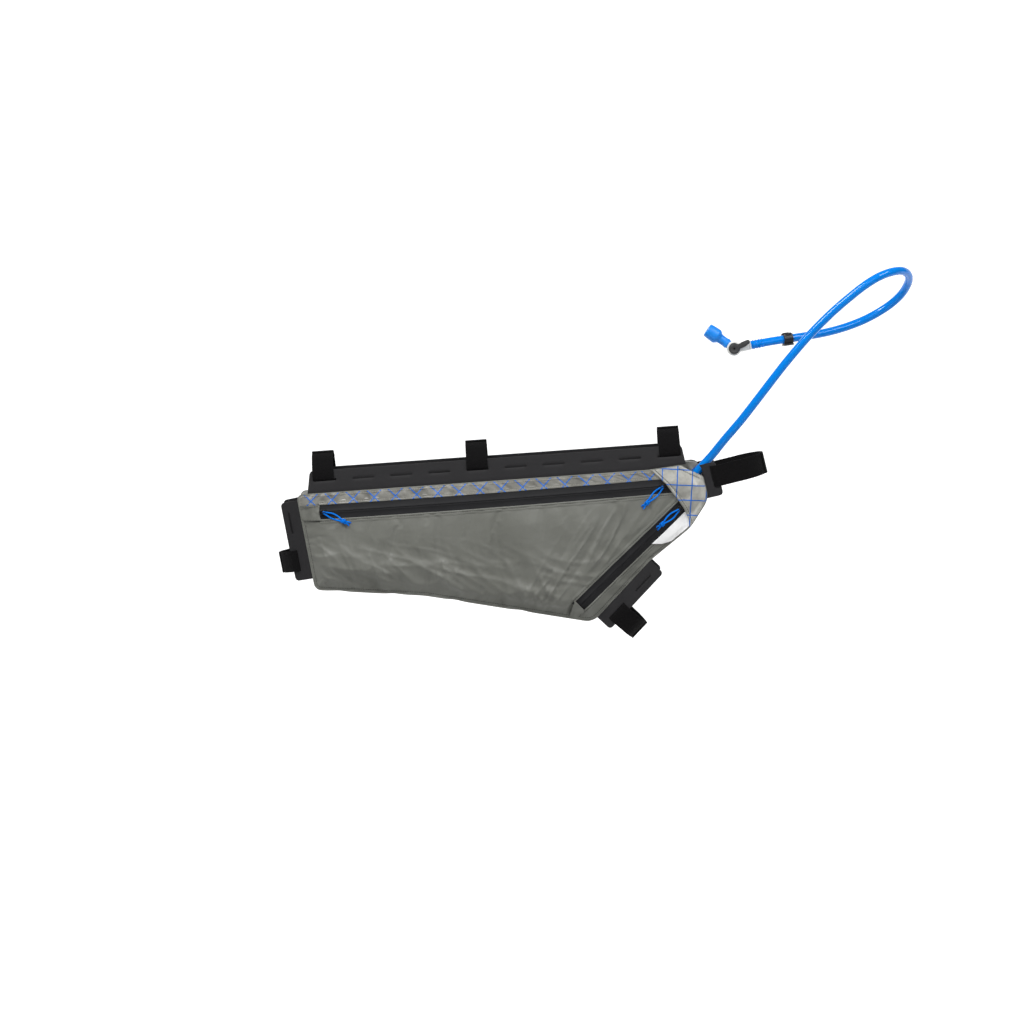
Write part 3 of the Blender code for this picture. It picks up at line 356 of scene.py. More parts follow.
# Bag body. Coated grey-green ripstop nylon: both sides and the gusset. It is sewn up as a shell, blown up a
# little against its sewn edges by a cloth simulation, and gets the creases that the photograph shows.
SHELL_COLUMNS = 132
SHELL_ROWS = 44
GUSSET_ROWS = 10
CLOTH = 0.0008
SIMULATION_FRAMES = 22
PRESSURE = 3.2
SLACK = -0.012  # how much longer the cloth is than its seams
MOST_SWELL = 0.0126  # past the seams
FIRST_SWELL = 0.7  # of the bulge, before it is blown up
FIRST_RIPPLE = 0.0005
BOTTOM_PINCHES = (0.10, 0.235, 0.385, 0.545)  # shares of the length where the bottom hem is drawn in
PORT_REAR, PORT_FRONT = place(0.9330, 0.0120), place(0.9840, 0.0880)
PORT_DEPTH = -0.008
PORT_ROOM = 0.06  # the cut for the port stays this near to it
ON_SEAM = 1e-5

rear_top, rear_bottom = place(*OUTLINE[0][:2]), place(*OUTLINE[1][:2])
front_bottom, front_top = place(*OUTLINE[3][:2]), place(*OUTLINE[7][:2])
side_spots = stretched_grid(
    border_between(rear_bottom, front_bottom),
    border_between(front_top, rear_top)[::-1],
    border_between(rear_top, rear_bottom)[::-1],
    border_between(front_bottom, front_top),
    SHELL_COLUMNS,
    SHELL_ROWS,
)


def side_grid(name, side):
    """One side of the bag as a grid in its middle state, before it is blown up."""
    bpy.ops.mesh.primitive_grid_add(x_subdivisions=SHELL_COLUMNS, y_subdivisions=SHELL_ROWS, size=1)
    obj = bpy.context.object
    obj.name = name
    for vert in obj.data.vertices:
        column = round((vert.co.x + 0.5) * SHELL_COLUMNS)
        row = round((vert.co.y + 0.5) * SHELL_ROWS)
        x, z = side_spots[column, row]
        sewn = column in (0, SHELL_COLUMNS) or row in (0, SHELL_ROWS)
        swell = 0 if sewn else FIRST_SWELL * BULGE * (1 - (1 - min(edge_distance(x, z) / BULGE_REACH, 1)) ** 2)
        ripple = FIRST_RIPPLE * noise.noise(Vector((x * 40, z * 40, side * 3)))
        vert.co = (x, side * (EDGE_WIDTH / 2 + swell + ripple * (swell > 0.001)), z)
    return obj


# Coated nylon: a fine ripstop weave under a polyurethane coat, so it has a soft sheen and small hard crinkles.
WEAVE_PITCH = 0.0011  # drawn coarser than the real 0.4 mm, to show
WAVES_A_METRE = 3.2  # of a wave texture of scale 1
body_cloth, tree, shader = new_material("coated_ripstop_nylon", "#6D6E68", 0.52, Sheen_Weight=0.08)
spot = add_node(tree, "ShaderNodeTexCoord").outputs["Object"]
patches = add_node(tree, "ShaderNodeTexNoise", {"Vector": spot}, scale=9, detail=3).outputs["Fac"]
tone = add_node(tree, "ShaderNodeValToRGB", {"Fac": patches}, {"Color": shader.inputs["Base Color"]})
for stop, position, colour in zip(tone.color_ramp.elements, (0.3, 0.7), ("#666760", "#757670")):
    stop.position, stop.color = position, linear(colour)
crinkle = add_node(tree, "ShaderNodeTexNoise", {"Vector": spot}, scale=55, detail=4, roughness=0.6).outputs["Fac"]
weave_scale = 1 / WEAVE_PITCH / WAVES_A_METRE
warp = add_node(tree, "ShaderNodeTexWave", {"Vector": spot, "Scale": weave_scale}, bands_direction="X")
weft = add_node(tree, "ShaderNodeTexWave", {"Vector": spot, "Scale": weave_scale}, bands_direction="Z")
threads = add_node(tree, "ShaderNodeMath", {0: warp.outputs["Fac"], 1: weft.outputs["Fac"]}, operation="ADD")
fine = add_node(tree, "ShaderNodeMath", {0: threads.outputs[0], 1: 0.05}, operation="MULTIPLY")
relief = add_node(tree, "ShaderNodeMath", {0: crinkle, 1: fine.outputs[0]}, operation="ADD").outputs[0]
add_node(
    tree, "ShaderNodeBump", {"Height": relief}, {"Normal": shader.inputs["Normal"]}, distance=0.0007, strength=0.55
)

clear_selection()
near_side = side_grid("bag_body", -1)
clear_selection()
far_side = side_grid("far_side", 1)
select_only(near_side, far_side)
bpy.ops.object.join()
bag_body = bpy.context.object
bpy.ops.object.mode_set(mode="EDIT")
bpy.ops.mesh.select_mode(type="EDGE")
bpy.ops.mesh.select_all(action="DESELECT")
bpy.ops.mesh.select_non_manifold()
bpy.ops.mesh.bridge_edge_loops(number_cuts=GUSSET_ROWS - 1, smoothness=0)
bpy.ops.mesh.select_all(action="SELECT")
bpy.ops.mesh.normals_make_consistent(inside=False)
bpy.ops.object.mode_set(mode="OBJECT")

seams = bag_body.vertex_groups.new(name="sewn_edges")
for vert in bag_body.data.vertices:
    if abs(abs(vert.co.y) - EDGE_WIDTH / 2) < ON_SEAM:
        seams.add([vert.index], 1.0, "REPLACE")
cloth = bag_body.modifiers.new("air", "CLOTH")
settings = cloth.settings
settings.quality = 6
settings.mass = 0.2
settings.tension_stiffness = settings.compression_stiffness = 30
settings.shear_stiffness = 12
settings.bending_stiffness = 0.6
settings.vertex_group_mass = seams.name
settings.shrink_min = SLACK
settings.use_pressure = True
settings.uniform_pressure_force = PRESSURE
settings.effector_weights.gravity = 0
cloth.collision_settings.use_collision = False
cloth.point_cache.frame_start, cloth.point_cache.frame_end = 1, SIMULATION_FRAMES
scene = bpy.context.scene
scene.frame_start, scene.frame_end = 1, SIMULATION_FRAMES
for number in range(1, SIMULATION_FRAMES + 1):
    scene.frame_set(number)
select_only(bag_body)
bpy.ops.object.modifier_apply(modifier=cloth.name)
scene.frame_set(1)
bag_body.vertex_groups.clear()

# Creases that the cloth has in the photograph: place, length and width in shares of the bag's length, tilt
# from the front in degrees, and height in metres.
CREASES = [
    (0.105, 0.690, 0.055, 0.011, -38, -0.0013),
    (0.150, 0.640, 0.050, 0.010, -42, 0.0010),
    (0.185, 0.705, 0.070, 0.012, -35, 0.0015),
    (0.235, 0.700, 0.070, 0.010, -33, -0.0015),
    (0.275, 0.745, 0.055, 0.010, -26, 0.0012),
    (0.330, 0.750, 0.060, 0.012, -28, -0.0012),
    (0.390, 0.800, 0.050, 0.010, -48, 0.0012),
    (0.455, 0.800, 0.045, 0.010, -62, -0.0012),
    (0.520, 0.850, 0.040, 0.010, -72, 0.0010),
    (0.585, 0.870, 0.040, 0.009, -80, -0.0010),
    (0.605, 0.700, 0.060, 0.009, 75, 0.0008),
    (0.640, 0.640, 0.060, 0.009, 66, -0.0010),
    (0.675, 0.640, 0.070, 0.009, 62, 0.0010),
    (0.705, 0.560, 0.070, 0.009, 58, -0.0010),
    (0.735, 0.560, 0.060, 0.009, 56, 0.0009),
    (0.765, 0.470, 0.055, 0.009, 54, -0.0009),
    (0.810, 0.400, 0.050, 0.008, 52, 0.0008),
    (0.860, 0.300, 0.035, 0.008, 50, -0.0008),
]
# The cloth's small crinkles: tilt from the front in degrees, waves a metre along and across them, and how strong
# they are low on the side and beside the slanting zip.
CRINKLES = [(-34, 13, 62, 1, 0), (-14, 15, 66, 0.8, 0), (-72, 12, 70, 0.7, 0), (58, 12, 75, 0, 1)]
CRINKLE_HEIGHT = 0.0021
WAVE_HEIGHT, SMALL_WAVE_HEIGHT, FINEST_WAVE_HEIGHT = 0.0008, 0.0003, 0.00018
BELLY_HEIGHT, BELLY_REACH = 0.0050, 0.078
ZIP_PLACES = (  # first and last spot, and half its width
    ((0.045, 0.313), (0.93, 0.137), 0.0084),
    ((0.678, 0.922), (0.948, 0.243), 0.0075),
)
ZIP_DEPTH = 0.0022  # of the cloth behind a zip, so that it never shows through
ZIP_SLOPE, ZIP_DEPTH_FADE = 0.0020, 0.008  # beside the zip, and from a seam
HEM_RISE, HEM_DROP, PINCH_REACH, HEM_REACH = 0.0010, 0.0003, 0.018, 0.012
SEAM_FADE = 0.014  # over this way from a seam the creases grow to their full height
CALM_BY_ZIP, CALM_REACH = 0.8, 0.009  # how much of the creases a zip takes out, and how far from it
FAR_BELLY, FAR_CREASE = 0.7, 0.6  # of the near side's
AT_BORDER, AT_SEAM = 0.0009, 0.0007  # a new point as near as this to a seam is put on it


def crease_height(x, z):
    """The height that the creases add at a point of a side."""
    total = 0.0
    for along, down, length, width, tilt, height in CREASES:
        dx, dz = np.array([x, z]) - place(along, down)
        turn = math.radians(tilt)
        lengthways = (dx * math.cos(turn) + dz * math.sin(turn)) / (length * BAG_LENGTH)
        across = (dz * math.cos(turn) - dx * math.sin(turn)) / (width * BAG_LENGTH)
        if abs(lengthways) < 2 and abs(across) < 3:
            total += height * math.exp(-(across**2) - lengthways**4)
    return total


def crinkle_height(x, z, seed):
    """Uneven waves of the coated cloth, with sharper crinkles low on the side and beside the slanting zip."""
    at = Vector((x * 24, seed * 7.0, z * 32))
    soft = WAVE_HEIGHT * noise.noise(at) + SMALL_WAVE_HEIGHT * noise.noise(at * 2.3)
    along, down = x / BAG_LENGTH + ORIGIN_SHARE, (BAG_TOP - z) / BAG_HEIGHT
    low = min(max((down - 0.42 - 0.10 * along) / 0.22, 0), 1)
    aslant = math.exp(-(((along - 0.70 + 0.38 * (down - 0.6)) / 0.09) ** 2))
    sharp = 0.0
    for tilt, along_scale, across_scale, low_share, aslant_share in CRINKLES:
        share, turn = low * low_share + aslant * aslant_share, math.radians(tilt)
        u, v = x * math.cos(turn) + z * math.sin(turn), z * math.cos(turn) - x * math.sin(turn)
        ridge = 1 - abs(noise.noise(Vector((u * along_scale, v * across_scale, seed * 3.1 + tilt)))) * 2.2
        sharp += share * max(ridge, 0) ** 2 * CRINKLE_HEIGHT
    return soft + sharp + FINEST_WAVE_HEIGHT * noise.noise(at * 7)


def belly_height(x, z):
    """The fuller line above the bottom seam, under which the side turns in to the seam."""
    along = min(max(x / BAG_LENGTH + ORIGIN_SHARE, 0), 1)
    bottom = np.interp(along, (0.03, 0.3, 0.72, 0.86), (0.80, 0.845, 1.0, 0.62))
    above = bottom - (BAG_TOP - z) / BAG_HEIGHT
    ridge = np.interp(along, (0, 0.3, 0.75), (0.19, 0.155, 0.11))
    rear_fade, front_fade = min(along / 0.08, 1), min(max((0.80 - along) / 0.12, 0), 1)
    return BELLY_HEIGHT * math.exp(-(((above - ridge) / BELLY_REACH) ** 2)) * rear_fade * front_fade


def zip_nearness(x, z, reach):
    """1 under a zip, falling to 0 at a reach beyond its edges."""
    spot, most = np.array([x, z]), 0.0
    for first, last, half in ZIP_PLACES:
        start, end = place(*first), place(*last)
        run = end - start
        off = spot - start - run * min(max((spot - start) @ run / (run @ run), 0), 1)
        most = max(most, min(max(1 - (np.linalg.norm(off) - half) / reach, 0), 1))
    return most


def hem_wave(x, z):
    """How much the bottom seam is drawn up at a place."""
    if z > place(0, 0.72)[1]:
        return 0.0
    share = x / BAG_LENGTH + ORIGIN_SHARE
    return HEM_RISE * sum(math.exp(-(((share - at) / PINCH_REACH) ** 2)) for at in BOTTOM_PINCHES) - HEM_DROP


# The near side gets finer faces, and both sides their belly, creases and crinkles, fading to nothing at the seams.
for face in bag_body.data.polygons:
    face.select = all(bag_body.data.vertices[i].co.y < 0.0001 - EDGE_WIDTH / 2 for i in face.vertices)
for edge in bag_body.data.edges:
    edge.select = False
for vert in bag_body.data.vertices:
    vert.select = False
bpy.ops.object.mode_set(mode="EDIT")
bpy.ops.mesh.select_mode(type="FACE")
bpy.ops.mesh.subdivide(number_cuts=1, smoothness=0.6)
bpy.ops.object.mode_set(mode="OBJECT")
for vert in bag_body.data.vertices:
    x, y, z = vert.co
    distance = edge_distance(x, z)
    if distance < AT_BORDER and abs(abs(y) - EDGE_WIDTH / 2) < AT_SEAM:
        y = vert.co.y = math.copysign(EDGE_WIDTH / 2, y)
    if abs(y) > EDGE_WIDTH / 2 + ON_SEAM:
        side = math.copysign(1, y)
        near = side < 0
        fade = min(distance / SEAM_FADE, 1)
        belly = belly_height(x, z) if near else FAR_BELLY * belly_height(x, z)
        height = min(abs(y) + belly * fade, EDGE_WIDTH / 2 + MOST_SWELL)
        if near:
            fade *= 1 - CALM_BY_ZIP * zip_nearness(x, z, CALM_REACH)
        crease = crease_height(x, z) if near else FAR_CREASE * crease_height(-x, z)
        height += fade * (crease + crinkle_height(x, z, side))
        vert.co.y = side * height
    vert.co.z += max(0.0, 1 - distance / HEM_REACH) * hem_wave(x, z)

mesh = bag_body.data
surface = BVHTree.FromPolygons([v.co[:] for v in mesh.vertices], [p.vertices[:] for p in mesh.polygons])
for vert in mesh.vertices:
    x, y, z = vert.co
    if y < -EDGE_WIDTH / 2 - ON_SEAM:
        vert.co.y += ZIP_DEPTH * zip_nearness(x, z, ZIP_SLOPE) * min(edge_distance(x, z) / ZIP_DEPTH_FADE, 1)

# The port for the hose is cut out of the gusset's nose.
work = bmesh.new()
work.from_mesh(mesh)
along = PORT_FRONT - PORT_REAR
normal = Vector((-along[1], 0, along[0])).normalized()
middle = Vector(((PORT_REAR[0] + PORT_FRONT[0]) / 2, 0, (PORT_REAR[1] + PORT_FRONT[1]) / 2))
for cut_at, facing in ((middle, normal), ((0, PORT_DEPTH, 0), (0, 1, 0))):
    near_port = [f for f in work.faces if (f.calc_center_median() - middle).length < PORT_ROOM]
    geometry = near_port + list({e for f in near_port for e in f.edges}) + list({v for f in near_port for v in f.verts})
    bmesh.ops.bisect_plane(work, geom=geometry, plane_co=cut_at, plane_no=facing, dist=1e-6)
gone = []
for face in work.faces:
    centre = face.calc_center_median()
    if (centre - middle).dot(normal) > 0 and centre.y < PORT_DEPTH and (centre - middle).length < PORT_ROOM:
        gone.append(face)
bmesh.ops.delete(work, geom=gone, context="FACES")
work.to_mesh(mesh)
work.free()

wall = bag_body.modifiers.new("cloth", "SOLIDIFY")
wall.thickness = CLOTH
wall.offset = -1
select_only(bag_body)
bpy.ops.object.modifier_apply(modifier=wall.name)
mesh.shade_smooth()
mesh.materials.clear()
mesh.materials.append(body_cloth)
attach(bag_body, "bag")
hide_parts("main_panel", "zip_end_cover", "zip_foot_cover", "front_panel", "far_panel", "gusset")


def grid_piece(name, places, merged=False):
    """A mesh object: a grid whose vertices are moved to the given places, as [column][row]."""
    places = np.array(places, float)
    columns, rows = places.shape[0] - 1, places.shape[1] - 1
    clear_selection()
    bpy.ops.mesh.primitive_grid_add(x_subdivisions=columns, y_subdivisions=rows, size=1)
    obj = bpy.context.object
    obj.name = name
    for vert in obj.data.vertices:
        vert.co = places[round((vert.co.x + 0.5) * columns), round((vert.co.y + 0.5) * rows)]
    if merged:
        bpy.ops.object.mode_set(mode="EDIT")
        bpy.ops.mesh.select_all(action="SELECT")
        bpy.ops.mesh.remove_doubles(threshold=2e-6)
        bpy.ops.mesh.normals_make_consistent(inside=False)
        bpy.ops.object.mode_set(mode="OBJECT")
    return obj


def modify(obj, kind, **settings):
    """Adds a modifier and applies it."""
    modifier = obj.modifiers.new(kind.lower(), kind)
    for key, value in settings.items():
        setattr(modifier, key, value)
    select_only(obj)
    bpy.ops.object.modifier_apply(modifier=modifier.name)


def thicken(obj, thickness, bevel=0.0, offset=-1):
    """Gives a sheet its thickness, with rounded edges."""
    modify(obj, "SOLIDIFY", thickness=thickness, offset=offset)
    if bevel:
        modify(obj, "BEVEL", width=bevel, segments=2, limit_method="ANGLE", angle_limit=0.9)


def as_mesh(curve):
    """Turns a curve piece into a mesh."""
    select_only(curve)
    bpy.ops.object.convert(target="MESH")
    return bpy.context.object


def hand_over(obj, material, slot, *nodes, body="bag", sharp=42):
    """Dresses a finished piece and says what it rides on and which solids it stands for."""
    if obj.type == "CURVE":
        obj = as_mesh(obj)
    select_only(obj)
    obj.data.materials.clear()
    obj.data.materials.append(material)
    bpy.ops.object.shade_smooth_by_angle(angle=math.radians(sharp))
    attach(obj, body)
    if nodes:
        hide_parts(*nodes)
    return obj


def joined(name, *objects):
    """Several objects of one kind joined into one."""
    select_only(*objects)
    bpy.ops.object.join()
    obj = bpy.context.object
    obj.name = name
    return obj


LEAST_DEPTH = 0.0235  # of the near side's face: a ray that hits less deep has passed the bag's edge
RAY_START = 0.2  # before the near side
EVENED_LIFT = 0.4  # mm: a strip's points that stand higher than this are evened, its edges lie on the cloth
MOST_SINK = 0.0005  # of an evened patch into the cloth


def side_point(x, z, lift=0.0, onto=None):
    """A point on the near side's outer face, or on a piece laid on it, lifted off it."""
    hit = (onto or surface).ray_cast(Vector((x, -RAY_START, z)), Vector((0, 1, 0)))[0]
    if hit is None or hit.y > -LEAST_DEPTH:
        x, z = BORDER[border_number((x, z))]
        return np.array([x, -EDGE_WIDTH / 2 - lift, z])
    return np.array([x, hit.y - lift, z])


def beside(line, by):
    """A flat line moved to its left."""
    line = np.array(line, float)
    ways = np.gradient(line, axis=0)
    ways /= np.linalg.norm(ways, axis=1)[:, None]
    return line + np.stack([-ways[:, 1], ways[:, 0]], axis=1) * by


def longer(line, before, after):
    """A line made longer at its ends, or shorter where a length is negative."""
    spacing = 0.002
    line = even_line(line, spacing)
    for length in (before, after):
        line = line[::-1]
        if length < 0:
            line = line[: len(line) + round(length / spacing)]
        elif length > 0:
            step = line[-1] - line[-2]
            line = np.vstack([line, line[-1] + step / np.linalg.norm(step) * length])
    return line


def sewn_strip(name, line, profile, spacing=0.0025, lift_of=None, stiff=0):
    """A strip laid along a line of the near side, with the profile (across, lift) in mm from right to left.

    A stiff strip doesn't follow the cloth's small waves: its height is evened over that many stations.
    """
    line = even_line(line, spacing)
    edges = [beside(line, across / 1000) for across, _ in profile]
    places = []
    for i in range(len(line)):
        extra = lift_of(i * spacing) if lift_of else 0.0
        places.append([side_point(*edge[i], lift / 1000 + extra) for edge, (_, lift) in zip(edges, profile)])
    places = np.array(places)
    evened = [lift > EVENED_LIFT for _, lift in profile]
    for _ in range(stiff):
        places[1:-1, evened, 1] = (places[:-2, evened, 1] + 2 * places[1:-1, evened, 1] + places[2:, evened, 1]) / 4
    return grid_piece(name, places)


def laid_patch(name, edges, columns, rows, lift_of, stiff=0):
    """A cloth patch laid on the near side between its bottom, top, rear and front edge lines."""
    spots = stretched_grid(*edges, columns, rows)
    places = [
        [side_point(*spots[c, r], lift_of(c / columns, r / rows, *spots[c, r])) for r in range(rows + 1)]
        for c in range(columns + 1)
    ]
    places = np.array(places)
    lowest = places[..., 1] + MOST_SINK
    for _ in range(stiff):
        places[1:-1, :, 1] = (places[:-2, :, 1] + 2 * places[1:-1, :, 1] + places[2:, :, 1]) / 4
        places[:, 1:-1, 1] = (places[:, :-2, 1] + 2 * places[:, 1:-1, 1] + places[:, 2:, 1]) / 4
    places[..., 1] = np.minimum(places[..., 1], lowest)
    return grid_piece(name, places)


def lofted(name, rings, capped=True):
    """A solid through rings of points, closed at both ends."""
    rings = [np.array(ring, float) for ring in rings]
    if capped:
        rings = [np.repeat(rings[0].mean(axis=0)[None], len(rings[0]), 0), *rings]
        rings.append(np.repeat(rings[-1].mean(axis=0)[None], len(rings[-1]), 0))
    return grid_piece(name, [np.vstack([ring, ring[:1]]) for ring in rings], merged=True)


def ring_about(centre, first, second, radii, count=32):
    """An ellipse of points about a centre, with its axes along two directions."""
    centre, first, second = np.array(centre), np.array(first), np.array(second)
    turns = np.linspace(0, 2 * math.pi, count, endpoint=False)
    return np.array([centre + first * radii[0] * math.cos(t) + second * radii[1] * math.sin(t) for t in turns])


def wave(seed, *at):
    """Smooth noise between -1 and 1 at a place given in its own units."""
    return noise.noise(Vector((seed * 13.7 + at[0], at[1] if len(at) > 1 else 0.0, at[2] if len(at) > 2 else 0.0)))


# Sewing thread. Bonded polyester, pale where it holds the band; the grey thread is drawn a little darker than the body
# cloth, as painted shade of its stitch holes. It is sewn in lockstitches, drawn thicker than the real thread, to show.
THREAD = 0.00068
STITCH_PITCH = 0.0028
STITCH_RISE = (-0.0003, 0.0002, 0.0002, -0.0003)  # of its four points over the cloth
# Painted shade: the thread has the cloth's grey, and its darker tone stands for the shadowed stitch holes.
shaded_thread, _, _ = new_material("shaded_grey_polyester_thread", "#4B4C47", 0.75)
pale_thread, _, _ = new_material("pale_polyester_thread", "#A2A198", 0.70)


def stitch_row(line, lift, onto=None):
    """The stitches of a row along a line of the near side, each a short thread that dips into the cloth."""
    line = even_line(line, STITCH_PITCH / 4)
    return [
        [side_point(*line[i + k], lift + rise, onto) for k, rise in enumerate(STITCH_RISE)]
        for i in range(0, len(line) - 3, 4)
    ]


def sew(name, rows, thread, slot):
    """Makes one piece of some rows of stitches."""
    threads = [stitch for row in rows for stitch in row]
    hand_over(round_cords(name, threads, THREAD, resolution=1), thread, slot)


# Light cloth. Thin grey ripstop with a woven grid of blue threads, 18 mm apart: the band above the long zip
# lies with its grid at 45 degrees, and the flap over the hose port with its grid upright.
GRID_SQUARE = 0.018
GRID_LINE = 0.0014
BAND_SLOPE = math.radians(3.9)
BAND_CROSSING = (-0.2004, -0.04956)  # where two blue threads cross on the band
FLAP_CROSSING = (0.2382, -0.0288)
# Thin coated ripstop: a soft sheen over a cloudy grey, and blue threads that stand up a little.
light_cloth, tree, shader = new_material("blue_grid_ripstop_nylon", "#88877F", 0.40, Sheen_Weight=0.1)
weave_map = add_node(tree, "ShaderNodeUVMap", uv_map="grid").outputs["UV"]
split = add_node(tree, "ShaderNodeSeparateXYZ", {"Vector": weave_map})
lines = []
for axis in ("X", "Y"):
    nearness = add_node(tree, "ShaderNodeMath", {0: split.outputs[axis], 1: 0.5}, operation="PINGPONG").outputs[0]
    edge = {"From Min": GRID_LINE / GRID_SQUARE * 0.62, "From Max": GRID_LINE / GRID_SQUARE * 0.36}
    drawn = add_node(tree, "ShaderNodeMapRange", {"Value": nearness, **edge}, interpolation_type="SMOOTHSTEP")
    lines.append(drawn.outputs["Result"])
either = add_node(tree, "ShaderNodeMath", {0: lines[0], 1: lines[1]}, operation="MAXIMUM").outputs[0]
spot = add_node(tree, "ShaderNodeTexCoord").outputs["Object"]
clouds = add_node(tree, "ShaderNodeTexNoise", {"Vector": spot}, scale=48, detail=5, roughness=0.6).outputs["Fac"]
tone = add_node(tree, "ShaderNodeValToRGB", {"Fac": clouds})
for stop, position, colour in zip(tone.color_ramp.elements, (0.30, 0.72), ("#5F5E58", "#8B8A83")):
    stop.position, stop.color = position, linear(colour)
add_node(
    tree,
    "ShaderNodeMix",
    {"Factor": either, 6: tone.outputs["Color"], 7: linear("#0060BC")},
    {2: shader.inputs["Base Color"]},
    data_type="RGBA",
)
fold = add_node(tree, "ShaderNodeTexNoise", {"Vector": spot}, scale=120, detail=4, roughness=0.55).outputs["Fac"]
raised = add_node(tree, "ShaderNodeMath", {0: either, 1: fold, 2: fold}, operation="MULTIPLY_ADD").outputs[0]
add_node(
    tree, "ShaderNodeBump", {"Height": raised}, {"Normal": shader.inputs["Normal"]}, distance=0.0006, strength=0.6
)


def lay_grid(obj, crossing, slope):
    """Maps the woven grid on a piece: one of its threads' crossings and the slope of its threads."""
    layer = obj.data.uv_layers.new(name="grid")
    obj.data.uv_layers.active = layer
    for loop in obj.data.loops:
        x, _, z = obj.data.vertices[loop.vertex_index].co
        x, z = x - crossing[0], z - crossing[1]
        layer.data[loop.index].uv = (
            (x * math.cos(slope) + z * math.sin(slope)) / GRID_SQUARE,
            (z * math.cos(slope) - x * math.sin(slope)) / GRID_SQUARE,
        )


# Zips. Two water-resistant coil zips, black: the long one under the band and a slanting one at the front. Their
# coated tapes meet in a raised middle with a fine slit, and their edges are sewn under folded cloth.
ZIP_WIDTH = 0.0168
FRONT_ZIP_WIDTH = 0.0150
# Woven tape under a thin rubbery coat: nearly matt, with a fine grain.
zip_tape, tree, shader = new_material("coated_zip_tape", "#1B1B1D", 0.66, Specular_IOR_Level=0.25)
spot = add_node(tree, "ShaderNodeTexCoord").outputs["Object"]
grain = add_node(tree, "ShaderNodeTexNoise", {"Vector": spot}, scale=900, detail=2).outputs["Fac"]
add_node(
    tree, "ShaderNodeBump", {"Height": grain}, {"Normal": shader.inputs["Normal"]}, distance=0.0002, strength=0.25
)


def zip_profile(width):
    """A zip's cross profile in mm."""
    half = width * 500
    profile = []
    for across in (1.12, 0.9, 0.7, 0.56, 0.5, 0.44, 0.34, 0.24, 0.14, 0.075, 0.04, 0.02, 0):
        middle = 1 - min(across / 0.55, 1)
        slit = 0.85 * math.exp(-((across / 0.035) ** 2))
        tape_ridge = 0.12 * math.exp(-(((across - 0.5) / 0.05) ** 2))
        profile.append((across * half, 0.5 + 1.15 * middle * middle * (3 - 2 * middle) - slit + tape_ridge))
    return [(-a, r) for a, r in profile] + [(a, r) for a, r in profile[-2::-1]]


def zip_line(first, last, sag):
    first, last = place(*first), place(*last)
    return np.array(
        [first + (last - first) * t - np.array([0, 4 * sag * t * (1 - t)]) for t in np.linspace(0, 1, 9)]
    )


top_zip_line = zip_line((0.0545, 0.3110), (0.8960, 0.1440), 0.0012)
front_zip_line = zip_line((0.6855, 0.9020), (0.9370, 0.2700), 0.0)
for seed, name, line, width, node in (
    (1, "long_zip", longer(top_zip_line, 0.004, 0.020), ZIP_WIDTH, "top_zip"),
    (2, "slanting_zip", longer(front_zip_line, 0.003, 0.012), FRONT_ZIP_WIDTH, "front_zip"),
):
    tape = sewn_strip(name, line, zip_profile(width), lift_of=lambda s: 0.00012 * wave(seed, s * 60), stiff=14)
    hand_over(tape, zip_tape, "zip_tape", node, sharp=70)

# Folded edges beside the zips. The body cloth is turned under along each zip and topstitched 2.4 mm from the
# fold; the seam pulls small puckers into it.
FOLDED_EDGE = [
    (0.0, 0.1), (0.03, 0.7), (0.25, 1.15), (0.8, 1.30), (1.5, 1.12), (2.05, 0.75),
    (2.4, 0.58), (2.75, 0.72), (3.3, 0.85), (4.3, 0.62), (5.6, 0.2), (7.0, -0.5),
]  # from the fold outwards, height in mm


def folded_edge(name, line, offset, seed):
    """The folded edge of the cloth beside a zip: offset in mm says how far from its line and on which side."""
    profile = [(offset + math.copysign(d, offset), h) for d, h in FOLDED_EDGE]
    return sewn_strip(
        name,
        line,
        profile if offset > 0 else profile[::-1],
        spacing=0.0014,
        lift_of=lambda s: 0.00034 * wave(seed, s * 110) + 0.00022 * wave(seed + 1, s * 60),
        stiff=16,
    )


half = ZIP_WIDTH * 500
slant_half = FRONT_ZIP_WIDTH * 500
lower_fold = folded_edge("fold_under_long_zip", longer(top_zip_line, 0.0, 0.012), -half, 3)
hand_over(lower_fold, body_cloth, "body_cloth", sharp=80)
for label, offset, seed in (("inner", slant_half, 5), ("outer", -slant_half, 7)):
    length = 0.008 if offset > 0 else -0.042
    fold_strip = folded_edge(f"fold_{label}_of_slanting_zip", longer(front_zip_line, 0.0, length), offset, seed)
    hand_over(fold_strip, body_cloth, "body_cloth", sharp=80)

# Band. The light cloth between the long zip and the top seam, folded over at the zip and a little puckered
# by its two seams.
band_start = place(0.0040, 0.2790)
flap_edge = [
    place(*s)
    for s in (
        (0.8613, 0.0460), (0.8960, 0.1320), (0.9230, 0.2190), (0.9420, 0.2930), (0.9510, 0.3480), (0.9555, 0.4010),
    )
]
flap_edge[0], flap_edge[-1] = BORDER[border_number(flap_edge[0])], BORDER[border_number(flap_edge[-1])]
zip_upper = beside(top_zip_line, ZIP_WIDTH / 2)
roof = border_between(flap_edge[0], rear_top)
band_end = border_between(rear_top, band_start)


def band_lift(u, v, x, z):
    scallop = math.sin(u * 2 * math.pi * 31 + 3 * wave(9, u * 30)) * math.sin(math.pi * v)
    return 0.0008 + 0.00045 * scallop + 0.0007 * wave(10, x * 110, z * 160) * math.sin(math.pi * v) ** 0.5


band = laid_patch(
    "light_band",
    ([band_start, *zip_upper, place(0.915, 0.118)], roof[::-1], band_end[::-1], [place(0.915, 0.118), flap_edge[0]]),
    190,
    9,
    band_lift,
)
thicken(band, 0.0005)
band_fold = folded_edge("fold_over_long_zip", longer(top_zip_line, 0.0, 0.010), half, 11)
for piece in (band, band_fold):
    lay_grid(piece, BAND_CROSSING, BAND_SLOPE + math.radians(45))
hand_over(band, light_cloth, "light_cloth", "top_band", sharp=80)
hand_over(band_fold, light_cloth, "light_cloth", sharp=80)

